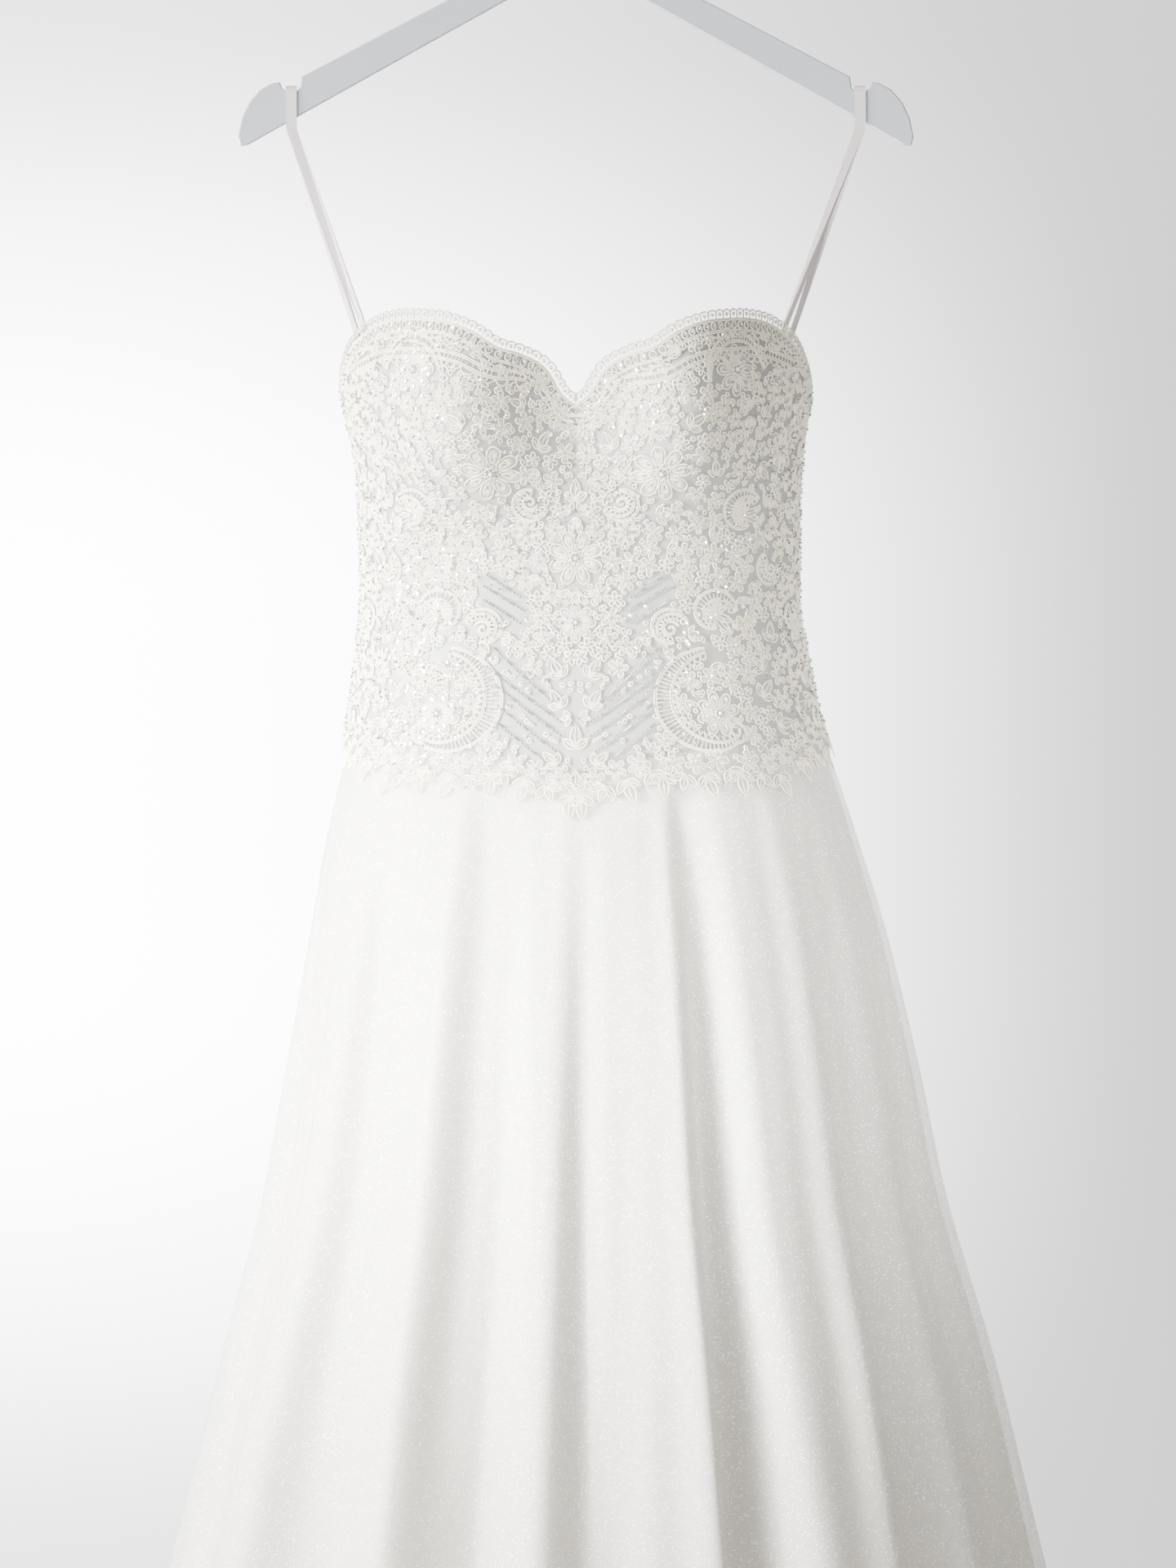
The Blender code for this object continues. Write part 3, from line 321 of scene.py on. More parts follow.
# Large motifs of the front lace. Columns: kind, angle, z, size, turn, and 1 where it is also mirrored.
FRONT_MOTIFS = (
    ("flower", 21, -404, 20, 10, 1),
    ("flower", 40, -338, 17, 0, 1),
    ("flower", 0, -459, 18, 22, 0),
    ("flower", 0, -501, 13, 0, 0),
    ("flower", 34, -560, 15, 15, 1),
    ("flower", 62, -388, 15, 5, 1),
    ("flower", 12, -442, 9, 0, 1),
    ("arch", 41, -344, 29, 0, 1),
    ("curl", 11, -423, 13, 200, 1),
    ("scroll", 33, -554, 43, 0, 1),
    ("fan", 36, -496, 19, 30, 1),
    ("curl", 23, -505, 14, 20, 1),
    ("fan", 72, -500, 17, -20, 1),
    ("fan", 46, -430, 19, 60, 1),
    ("curl", 58, -465, 12, 120, 1),
    ("leaf", 0, -417, 13, 90, 0),
    ("leaf", 4, -532, 12, 60, 1),
    ("leaf", 4, -552, 12, 60, 1),
    ("leaf", 0, -577, 14, 90, 0),
    ("leaf", 5, -590, 11, 40, 1),
    ("leaf", 0, -605, 12, 90, 0),
    ("leaf", 8, -385, 12, 120, 1),
    ("leaf", 29, -372, 12, 35, 1),
    ("leaf", 13, -360, 10, 20, 1),
    ("leaf", 36, -402, 11, 100, 1),
    ("leaf", 52, -364, 11, 60, 1),
    ("leaf", 53, -402, 12, -40, 1),
    ("leaf", 50, -545, 13, 50, 1),
    ("leaf", 55, -566, 13, 10, 1),
    ("leaf", 49, -586, 12, -50, 1),
    ("leaf", 66, -556, 13, 30, 1),
    ("leaf", 74, -536, 12, 60, 1),
    ("leaf", 76, -562, 12, -10, 1),
    ("leaf", 56, -508, 12, 80, 1),
    ("leaf", 78, -462, 13, 90, 1),
    ("leaf", 76, -425, 12, 60, 1),
    ("leaf", 77, -392, 12, 110, 1),
    ("leaf", 14, -596, 10, -20, 1),
)

# Large motifs of the back lace, with the same columns.
BACK_MOTIFS = (
    ("flower", 112, -430, 18, 0, 1),
    ("flower", 150, -440, 17, 20, 1),
    ("flower", 134, -500, 18, 8, 1),
    ("flower", 160, -556, 14, 0, 1),
    ("scroll", 150, -520, 30, 0, 1),
    ("fan", 108, -520, 18, -30, 1),
    ("leaf", 128, -405, 13, 70, 1),
    ("leaf", 165, -410, 12, 100, 1),
    ("leaf", 104, -475, 12, 60, 1),
    ("leaf", 125, -455, 12, -40, 1),
    ("leaf", 112, -558, 12, 20, 1),
    ("leaf", 128, -552, 12, 50, 1),
    ("leaf", 168, -490, 12, 90, 1),
    ("leaf", 170, -585, 11, 60, 1),
)

# Motifs that repeat along the lace's lower edge. Columns: height above the edge, kind, size, turn.
LOWER_ROW = (
    (-3.0, "leaf", 14, -90),
    (9.0, "rosette", 8, 20),
    (1.0, "sprig", 9, -110),
    (8.0, "rosette", 7, 50),
    (-5.0, "leaf", 14, -70),
    (10.0, "rosette", 8, 0),
    (4.0, "sprig", 8, -60),
)
LOWER_ROW_STEP = 7.5

# Small motifs scattered over bare cloth. Columns: kind, size in mm, spacing as a share of the size, tries.
FRONT_FILLERS = (
    ("rosette", 6.8, 0.72, 1400),
    ("sprig", 7.6, 0.62, 1400),
    ("rosette", 5.2, 0.70, 2600),
    ("sprig", 5.4, 0.58, 2600),
    ("pod", 3.4, 0.62, 7000),
    ("ringlet", 1.9, 0.80, 11000),
)
BACK_FILLERS = (
    ("rosette", 6.6, 0.86, 700),
    ("sprig", 7.4, 0.80, 700),
    ("rosette", 4.8, 0.88, 1200),
    ("pod", 3.6, 0.80, 3000),
    ("ringlet", 2.0, 1.00, 3500),
)

# Lines of beads that rise outward from the centre front, mirrored on the other side.
# Columns: inner angle, inner z, outer angle, outer z.
RAYS = (
    (3, -566, 21, -530),
    (3, -575, 19, -541),
    (4, -585, 18, -555),
    (6, -592, 17, -568),
    (5, -553, 20, -517),
    (13, -485, 22, -470),
    (12, -494, 23, -477),
    (13, -502, 23, -486),
)


def smooth_table(table, column, at):
    """Value of one column of a table, eased between rows so that the wall has no creases."""
    keys = np.array([row[0] for row in table], float)
    values = np.array([row[column] for row in table], float)
    if keys[0] > keys[-1]:
        keys = keys[::-1]
        values = values[::-1]
    slopes = np.gradient(values, keys)
    at = np.clip(np.asarray(at, float), keys[0], keys[-1])
    i = np.clip(np.searchsorted(keys, at) - 1, 0, len(keys) - 2)
    h = keys[i + 1] - keys[i]
    t = (at - keys[i]) / h
    rise = (1 + 2 * t) * (1 - t) ** 2 * values[i] + t * t * (3 - 2 * t) * values[i + 1]
    lean = t * (1 - t) ** 2 * slopes[i] - t * t * (1 - t) * slopes[i + 1]
    return rise + h * lean


def straight_table(table, at):
    """Second column of a table, straight between rows, the same on both sides of the gown."""
    keys = [row[0] for row in table]
    values = [row[1] for row in table]
    return np.interp(np.abs(at), keys, values)


def neckline_z(angle):
    return smooth_table(NECKLINE, 1, np.abs(angle))


def seam_z(angle):
    return straight_table(SEAM, angle)


def lace_hem_z(angle):
    return straight_table(LACE_HEM, angle)


def gown_surface(angle, z):
    """Outer face of the gown before its folds, at angles in degrees and heights in mm."""
    angle = np.radians(np.asarray(angle, float))
    z = np.asarray(z, float)
    s = np.sin(angle)
    c = np.cos(angle)
    left = smooth_table(OUTLINE, 1, z)
    right = smooth_table(OUTLINE, 2, z)
    front = smooth_table(OUTLINE, 3, z)
    back = smooth_table(OUTLINE, 4, z)
    half = (left + right) / 2 + (right - left) / 2 * s
    depth = (front + back) / 2 + (front - back) / 2 * c
    x = half * s * (1 + SQUARENESS * c * c)
    y = -depth * c * (1 + SQUARENESS * s * s)
    share = smooth_table(CUP_PROFILE, 1, z)
    across = np.exp(-(((np.abs(x) - CUP_X) / CUP_WIDTH) ** 2))
    facing = np.clip(c / CUP_FADE, 0, 1)
    y = y - CUP_RISE * share * across * facing * facing * (3 - 2 * facing)
    return np.stack([x, y, np.broadcast_to(z, x.shape)], axis=-1)


def surface_normals(angle, z):
    """Unit outward normals of the gown, and its width in mm per degree round it and per mm up."""
    step = 0.25
    round_it = (gown_surface(angle + step, z) - gown_surface(angle - step, z)) / (2 * step)
    up = (gown_surface(angle, z + step) - gown_surface(angle, z - step)) / (2 * step)
    n = np.cross(round_it, up)
    n /= np.linalg.norm(n, axis=-1, keepdims=True)
    return n, np.linalg.norm(round_it, axis=-1), np.linalg.norm(up, axis=-1)


def girth_table():
    """Distance round the gown from the centre front, on a grid of heights and angles."""
    heights = np.arange(GIRTH_LOW, GIRTH_HIGH, GIRTH_STEP)
    angles = np.arange(0.0, 181.0, 1.0)
    grid = gown_surface(angles[None, :], heights[:, None] * np.ones_like(angles)[None, :])
    steps = np.linalg.norm(np.diff(grid, axis=1), axis=2)
    girth = np.concatenate([np.zeros((len(heights), 1)), np.cumsum(steps, axis=1)], axis=1)
    return heights, angles, girth


GIRTH_HEIGHTS, GIRTH_ANGLES, GIRTH = girth_table()


def girth_row(z):
    at = (z - GIRTH_LOW) / GIRTH_STEP
    i = int(min(max(at, 0), len(GIRTH_HEIGHTS) - 2))
    return GIRTH[i] + (GIRTH[i + 1] - GIRTH[i]) * min(max(at - i, 0.0), 1.0)


def girth_at(angle, z):
    return np.interp(angle, GIRTH_ANGLES, girth_row(z))


def angle_at(girth, z):
    return np.interp(girth, girth_row(z), GIRTH_ANGLES)


def fold_angle(line, z):
    share = np.clip((FOLD_TOP_Z - z) / (FOLD_TOP_Z - HEM_Z), 0, 1)
    return FOLDS[line][0] + (FOLDS[line][1] - FOLDS[line][0]) * share


def fold_depth(line, z):
    start = FOLDS[line][3]
    share = np.clip((start - z) / (start - HEM_Z), 0, 1)
    return FOLDS[line][2] * share ** 0.8


def fold_ripple(angle, z):
    """Small uneven creases between the main folds, in mm."""
    turn = np.radians(angle)
    grow = np.clip((CREASE_START_Z - z) / CREASE_GROWTH, 0, 1) ** 0.7
    wave = SHIVER_HEIGHT * np.sin(z / SHIVER_LENGTH + turn * SHIVER_WAVES)
    for height, waves, start, sway, sway_length, sway_start, drift, drift_waves in CREASES:
        bend = sway * np.sin(z / sway_length + sway_start) + drift * np.sin(turn * drift_waves)
        wave = wave + height * np.sin(turn * waves + start + bend)
    return wave * grow


def skirt_points(rows, standoff):
    """Grid of skirt points [row][column] whose columns follow the folds."""
    count = (len(FOLDS) - 1) * COLUMNS_PER_FOLD
    rows = np.array(rows)
    grid = np.zeros((len(rows), count + 1, 3))
    for k in range(count + 1):
        line = min(k // COLUMNS_PER_FOLD, len(FOLDS) - 2)
        part = k / COLUMNS_PER_FOLD - line
        ease = (1 - math.cos(math.pi * part)) / 2
        top = FOLDS[line][0] * (1 - part) + FOLDS[line + 1][0] * part
        start = float(seam_z(top)) + WAIST_TUCK
        z = start + (HEM_Z - start) * rows
        angle = fold_angle(line, z) * (1 - part) + fold_angle(line + 1, z) * part
        depth = fold_depth(line, z) * (1 - ease) + fold_depth(line + 1, z) * ease
        p = gown_surface(angle, z)
        reach = np.hypot(p[:, 0], p[:, 1])
        tuck = TUCK_DEPTH * np.clip(1 - (start - z) / TUCK_LENGTH, 0, 1) ** 2
        inward = depth + tuck + standoff[0] + (standoff[1] - standoff[0]) * np.sqrt(rows)
        inward = inward + fold_ripple(angle, z) + RIPPLE_ROOM * rows
        p[:, 0] *= 1 - inward / reach
        p[:, 1] *= 1 - inward / reach
        grid[:, k] = p
    return grid


def grid_normals(grid):
    down = np.gradient(grid, axis=0)
    ring = np.concatenate([grid[:, -2:-1], grid, grid[:, 1:2]], axis=1)
    along = (ring[:, 2:] - ring[:, :-2]) / 2
    n = np.cross(along, down)
    n /= np.linalg.norm(n, axis=2, keepdims=True)
    if np.mean(np.sum(n[:, :, :2] * grid[:, :, :2], axis=2)) < 0:
        n = -n
    return n


def mesh_object(name, points, faces, material, smooth=True):
    mesh = bpy.data.meshes.new(name)
    points = np.asarray(points, float) * MM
    faces = np.asarray(faces, int)
    corners = faces.shape[1]
    mesh.vertices.add(len(points))
    mesh.vertices.foreach_set("co", points.ravel())
    mesh.loops.add(faces.size)
    mesh.loops.foreach_set("vertex_index", faces.ravel())
    mesh.polygons.add(len(faces))
    mesh.polygons.foreach_set("loop_start", np.arange(0, faces.size, corners))
    mesh.polygons.foreach_set("use_smooth", np.full(len(faces), smooth))
    mesh.update(calc_edges=True)
    mesh.validate()
    mesh.materials.append(material)
    o = bpy.data.objects.new(name, mesh)
    bpy.context.scene.collection.objects.link(o)
    return o


def grid_faces(rows, cols, start=0, flip=False):
    j, i = np.meshgrid(np.arange(rows - 1), np.arange(cols - 1), indexing="ij")
    a = (start + j * cols + i).ravel()
    quads = np.stack([a, a + 1, a + cols + 1, a + cols], axis=1)
    return quads[:, ::-1] if flip else quads


def wall_object(name, outer, inner, material):
    """Closed thin wall between two grids."""
    rows, cols = outer.shape[:2]
    points = np.concatenate([outer.reshape(-1, 3), inner.reshape(-1, 3)])
    back = rows * cols
    faces = [grid_faces(rows, cols, 0, True), grid_faces(rows, cols, back, False)]
    i = np.arange(cols - 1)
    faces.append(np.stack([i, i + 1, back + i + 1, back + i], axis=1))
    low = (rows - 1) * cols + i
    faces.append(np.stack([low + 1, low, back + low, back + low + 1], axis=1))
    j = np.arange(rows - 1) * cols
    faces.append(np.stack([j + cols, j, back + j, back + j + cols], axis=1))
    right = j + cols - 1
    faces.append(np.stack([right, right + cols, back + right + cols, back + right], axis=1))
    return mesh_object(name, points, np.concatenate(faces), material)


def principled(name, colour, roughness, **values):
    m = bpy.data.materials.new(name)
    m.use_nodes = True
    shader = m.node_tree.nodes["Principled BSDF"]
    shader.inputs["Base Color"].default_value = (*colour, 1.0)
    shader.inputs["Roughness"].default_value = roughness
    for socket, value in values.items():
        shader.inputs[socket.replace("_", " ")].default_value = value
    return m, m.node_tree, shader


def plain(name, colour, roughness, **values):
    """Material with the same look all over."""
    return principled(name, colour, roughness, **values)[0]


def add_bump(tree, shader, height, strength, distance):
    bump = tree.nodes.new("ShaderNodeBump")
    bump.inputs["Strength"].default_value = strength
    bump.inputs["Distance"].default_value = distance
    tree.links.new(height, bump.inputs["Height"])
    tree.links.new(bump.outputs["Normal"], shader.inputs["Normal"])


def object_coordinates(tree):
    return tree.nodes.new("ShaderNodeTexCoord").outputs["Object"]


def noise(tree, scale, detail=2.0):
    node = tree.nodes.new("ShaderNodeTexNoise")
    node.inputs["Scale"].default_value = scale
    node.inputs["Detail"].default_value = detail
    tree.links.new(object_coordinates(tree), node.inputs["Vector"])
    return node


def cells(tree, scale):
    node = tree.nodes.new("ShaderNodeTexVoronoi")
    node.inputs["Scale"].default_value = scale
    tree.links.new(object_coordinates(tree), node.inputs["Vector"])
    return node


def maths(tree, operation, first, second):
    node = tree.nodes.new("ShaderNodeMath")
    node.operation = operation
    for socket, value in zip(node.inputs, (first, second)):
        if isinstance(value, (int, float)):
            socket.default_value = value
        else:
            tree.links.new(value, socket)
    return node.outputs["Value"]


def mixed_colour(tree, share, one, two):
    """Mix of two colours, each given as a value or as the output of another node."""
    node = tree.nodes.new("ShaderNodeMix")
    node.data_type = "RGBA"
    tree.links.new(share, node.inputs[0])
    for socket, colour in zip(node.inputs[6:8], (one, two)):
        if isinstance(colour, tuple):
            socket.default_value = (*colour, 1.0)
        else:
            tree.links.new(colour, socket)
    return node.outputs[2]


def satin_material(name, colour, dark, roughness):
    m, tree, shader = principled(name, colour, roughness, Sheen_Weight=0.15, Sheen_Roughness=0.4)
    wide = noise(tree, 14.0)
    tree.links.new(mixed_colour(tree, wide.outputs["Fac"], colour, dark), shader.inputs["Base Color"])
    weave = noise(tree, 1500.0)
    add_bump(tree, shader, weave.outputs["Fac"], 0.25, 0.0003)
    return m


def tulle_material():
    """Sheer net with glitter: flakes scattered in fine cells, white ones a painted glint and dark ones a
    painted dark reflection.
    """
    m, tree, shader = principled(
        "glitter_tulle_look", TULLE, 0.55, Sheen_Weight=0.2, Specular_IOR_Level=0.3
    )
    flakes = cells(tree, 1000.0)
    pick = tree.nodes.new("ShaderNodeSeparateColor")
    tree.links.new(flakes.outputs["Color"], pick.inputs["Color"])
    middle = maths(tree, "LESS_THAN", flakes.outputs["Distance"], 0.45)
    # Painted glints: white flakes with lower roughness, picked at random among the cells. Painted dark
    # reflections: dark flakes.
    glint_share = maths(tree, "MULTIPLY", maths(tree, "GREATER_THAN", pick.outputs["Red"], 0.88), middle)
    dark_reflection_share = maths(tree, "MULTIPLY", maths(tree, "LESS_THAN", pick.outputs["Red"], 0.13), middle)
    with_glints = mixed_colour(tree, glint_share, TULLE, PAINTED_GLINT_FLAKE)
    tree.links.new(mixed_colour(tree, dark_reflection_share, with_glints, PAINTED_DARK_REFLECTION_FLAKE), shader.inputs["Base Color"])
    roughness = maths(tree, "SUBTRACT", 0.55, maths(tree, "MULTIPLY", glint_share, 0.3))
    tree.links.new(roughness, shader.inputs["Roughness"])
    flake = maths(tree, "ADD", glint_share, dark_reflection_share)
    alpha = maths(tree, "ADD", 0.45, maths(tree, "MULTIPLY", flake, 0.4))
    tree.links.new(alpha, shader.inputs["Alpha"])
    return m


def thread_material(name, colour, roughness):
    m, tree, shader = principled(name, colour, roughness, Sheen_Weight=0.25)
    twist = noise(tree, 900.0)
    add_bump(tree, shader, twist.outputs["Fac"], 0.5, 0.0004)
    return m


def fill_material():
    """Stitched ground inside the petals and leaves: a close net."""
    m, tree, shader = principled("stitched_fill", STITCHING, 0.7)
    holes = cells(tree, 900.0)
    cover = maths(tree, "GREATER_THAN", holes.outputs["Distance"], 0.28)
    tree.links.new(maths(tree, "ADD", 0.10, maths(tree, "MULTIPLY", cover, 0.30)), shader.inputs["Alpha"])
    add_bump(tree, shader, holes.outputs["Distance"], 0.4, 0.0005)
    return m


def bead_material(name, colour, roughness, metallic):
    return plain(name, colour, roughness, Metallic=metallic, Coat_Weight=0.6, Coat_Roughness=0.08)


def sequin_material():
    m, tree, shader = principled("sequin", SEQUIN, 0.18, Metallic=0.55)
    hue = noise(tree, 120.0)
    colour = mixed_colour(tree, hue.outputs["Fac"], SEQUIN_COOL, SEQUIN_WARM)
    tree.links.new(colour, shader.inputs["Base Color"])
    return m


def turned(degrees):
    """Cosine and sine of an angle in degrees."""
    return math.cos(math.radians(degrees)), math.sin(math.radians(degrees))


def round_steps(count):
    """Angles evenly spaced round a full turn, in radians."""
    return np.linspace(0, 2 * math.pi, count, endpoint=False)


def arc(radius, start, stop, count, shrink):
    """Arc between two angles in degrees, whose radius shrinks to a share along the way."""
    t = np.linspace(0, 1, count)
    a = np.radians(start + (stop - start) * t)
    r = radius * (1 + (shrink - 1) * t)
    return r * np.cos(a), r * np.sin(a)


def swung(x, y, along, across, turn):
    """Places measured along and across a direction in degrees from a point."""
    c, s = turned(turn)
    return x + along * c - across * s, y + along * s + across * c


class Threads:
    """Cords laid on the gown, gathered as lines of angle and height and made into meshes.

    A cord that lies on cloth needs only its two upper faces. One that stands past an edge is a closed tube.
    """

    def __init__(self, radius, closed_tube):
        self.lines = []
        self.radius = radius
        self.closed_tube = closed_tube
        if closed_tube:
            self.profile = ((1.0, 0.0), (0.0, 1.0), (-1.0, 0.0), (0.0, -1.0))
        else:
            self.profile = ((1.15, -0.5), (0.0, 1.1), (-1.15, -0.5))

    def add(self, angle, z, closed=False, lift=0.0):
        self.lines.append((np.asarray(angle, float), np.asarray(z, float), closed, lift))

    def build(self, name, material, region=None):
        lines = self.lines
        if region is not None:
            lines = [line for line in lines if region_of(line[0]) == region]
        angle = np.concatenate([line[0] for line in lines])
        z = np.concatenate([line[1] for line in lines])
        lift = np.concatenate([np.full(len(line[0]), line[3]) for line in lines])
        normal, _, _ = surface_normals(angle, z)
        lift = lift + CORD_LIFT + self.radius * 0.6 + over_skirt(angle, z)
        centre = gown_surface(angle, z) + normal * lift[:, None]
        side_shift = np.array([p[0] for p in self.profile]) * self.radius
        rise = np.array([p[1] for p in self.profile]) * self.radius
        sides = len(self.profile)
        walls = sides if self.closed_tube else sides - 1
        points = []
        faces = []
        start = 0
        made = 0
        for a, _, closed, _ in lines:
            count = len(a)
            p = centre[start : start + count]
            n = normal[start : start + count]
            start += count
            if closed:
                along = np.roll(p, -1, axis=0) - np.roll(p, 1, axis=0)
            else:
                along = np.gradient(p, axis=0)
            side = np.cross(n, along)
            side /= np.maximum(np.linalg.norm(side, axis=1, keepdims=True), 1e-9)
            ring = p[:, None] + side[:, None] * side_shift[None, :, None] + n[:, None] * rise[None, :, None]
            points.append(ring.reshape(-1, 3))
            steps = count if closed else count - 1
            k = np.repeat(np.arange(steps), walls)
            s = np.tile(np.arange(walls), steps)
            t = (s + 1) % sides
            m = (k + 1) % count
            quads = np.stack([k * sides + s, m * sides + s, m * sides + t, k * sides + t], axis=1)
            faces.append(made + quads)
            made += count * sides
        return mesh_object(name, np.concatenate(points), np.concatenate(faces), material)


def region_of(angle):
    middle = float(np.mean(angle))
    if abs(middle) > SIDE_DEG:
        return "back"
    return "front_left" if middle < 0 else "front_right"


def over_skirt(angle, z):
    """Extra lift of the lace where it hangs over the skirt."""
    return OVER_SKIRT_LIFT * np.clip((seam_z(angle) - z) / OVER_SKIRT_RUN, 0, 1)


class Dots:
    """Beads or sequins, gathered as places and made into one mesh from one small shape."""

    def __init__(self, shape_points, shape_faces, lift):
        self.shape = np.array(shape_points, float)
        self.faces = np.array(shape_faces, int)
        self.lift = lift
        self.places = []

    def add(self, angle, z, size=1.0, turn=0.0):
        self.places.append((angle, z, size, turn))

    def build(self, name, material, smooth):
        table = np.array(self.places)
        angle, z, size, turn = table.T
        normal, _, _ = surface_normals(angle, z)
        round_it = gown_surface(angle + 0.2, z) - gown_surface(angle - 0.2, z)
        round_it /= np.linalg.norm(round_it, axis=1, keepdims=True)
        up = np.cross(normal, round_it)
        along = round_it * np.cos(turn)[:, None] + up * np.sin(turn)[:, None]
        across = np.cross(normal, along)
        lift = self.lift + over_skirt(angle, z)
        centre = gown_surface(angle, z) + normal * lift[:, None]
        local = self.shape[None] * size[:, None, None]
        points = (
            centre[:, None]
            + local[:, :, 0:1] * along[:, None]
            + local[:, :, 1:2] * across[:, None]
            + local[:, :, 2:3] * normal[:, None]
        )
        count = len(self.shape)
        faces = self.faces[None] + (np.arange(len(table)) * count)[:, None, None]
        faces = faces.reshape(-1, self.faces.shape[1])
        return mesh_object(name, points.reshape(-1, 3), faces, material, smooth)


def ball_shape(radius):
    """Round bead of twenty faces."""
    g = (1 + math.sqrt(5)) / 2
    corners = []
    for a in (-1, 1):
        for b in (-g, g):
            corners += [(0, a, b), (a, b, 0), (b, 0, a)]
    corners = np.array(corners, float)
    corners *= radius / np.linalg.norm(corners[0])
    faces = []
    edge = 2 * radius / math.sqrt(1 + g * g) * 1.01
    for i in range(12):
        for j in range(i + 1, 12):
            for k in range(j + 1, 12):
                trio = corners[[i, j, k]]
                gaps = [np.linalg.norm(trio[m] - trio[(m + 1) % 3]) for m in range(3)]
                if max(gaps) <= edge:
                    out = np.dot(np.cross(trio[1] - trio[0], trio[2] - trio[0]), trio[0])
                    faces.append((i, j, k) if out > 0 else (i, k, j))
    return corners, faces


def disc_shape(radius, dish):
    points = [(0, 0, -dish)]
    for k in range(8):
        a = 2 * math.pi * k / 8
        points.append((radius * math.cos(a), radius * math.sin(a), 0))
    faces = [(0, 1 + k, 1 + (k + 1) % 8) for k in range(8)]
    return points, faces


def tube_shape(length, radius):
    points = []
    for x in (-length / 2, length / 2):
        for k in range(6):
            a = 2 * math.pi * k / 6
            points.append((x, radius * math.cos(a), radius * math.sin(a)))
    faces = [(k, (k + 1) % 6, 6 + (k + 1) % 6, 6 + k) for k in range(6)]
    return points, faces


class Fills:
    """Stitched patches inside motifs, each a fan of faces about its middle."""

    def __init__(self):
        self.patches = []

    def add(self, angle, z):
        self.patches.append((np.asarray(angle, float), np.asarray(z, float)))

    def build(self, name, material):
        points = []
        faces = []
        made = 0
        for angle, z in self.patches:
            angle = np.append(angle, angle.mean())
            z = np.append(z, z.mean())
            normal, _, _ = surface_normals(angle, z)
            lift = CORD_LIFT - 0.2 + over_skirt(angle, z)
            points.append(gown_surface(angle, z) + normal * lift[:, None])
            count = len(angle) - 1
            k = np.arange(count)
            faces.append(made + np.stack([k, (k + 1) % count, np.full(count, count)], axis=1))
            made += count + 1
        return mesh_object(name, np.concatenate(points), np.concatenate(faces), material)


class EdgeLine:
    """The neckline's edge as one long line, with distances measured along it."""

    def __init__(self):
        self.angle = np.linspace(-EDGE_END_DEG, EDGE_END_DEG, EDGE_STEPS)
        self.top = neckline_z(self.angle)
        p = gown_surface(self.angle, self.top)
        self.length = np.concatenate([[0], np.cumsum(np.linalg.norm(np.diff(p, axis=0), axis=1))])
        self.slope = np.gradient(self.top, self.length)
        self.run = np.sqrt(np.maximum(1 - self.slope * self.slope, 0.05))
        self.round_it = np.gradient(self.angle, self.length)
        self.total = self.length[-1]
        self.count = int(self.total / EDGE_PITCH)

    def along(self, at, drop):
        """Angle and height at a distance along the edge and a drop below it."""
        lean = np.interp(at, self.length, self.slope)
        level = np.interp(at, self.length, self.run)
        per_mm = np.interp(at, self.length, self.round_it) / level
        a = np.interp(at, self.length, self.angle) + drop * lean * per_mm
        return a, np.interp(at, self.length, self.top) - drop * level

    def loops(self, foot, height):
        """Row of scallop loops along the whole edge. A height below zero hangs them downward."""
        at = []
        drop = []
        for k in range(self.count):
            for t in np.linspace(0, 1, 7, endpoint=False):
                swell = LOOP_SWELL * math.sin(2 * math.pi * t)
                at.append(self.total * (k + t - swell) / self.count)
                drop.append(foot - height * math.sin(math.pi * t) ** LOOP_ROUNDNESS)
        return self.along(np.array(at), np.array(drop))


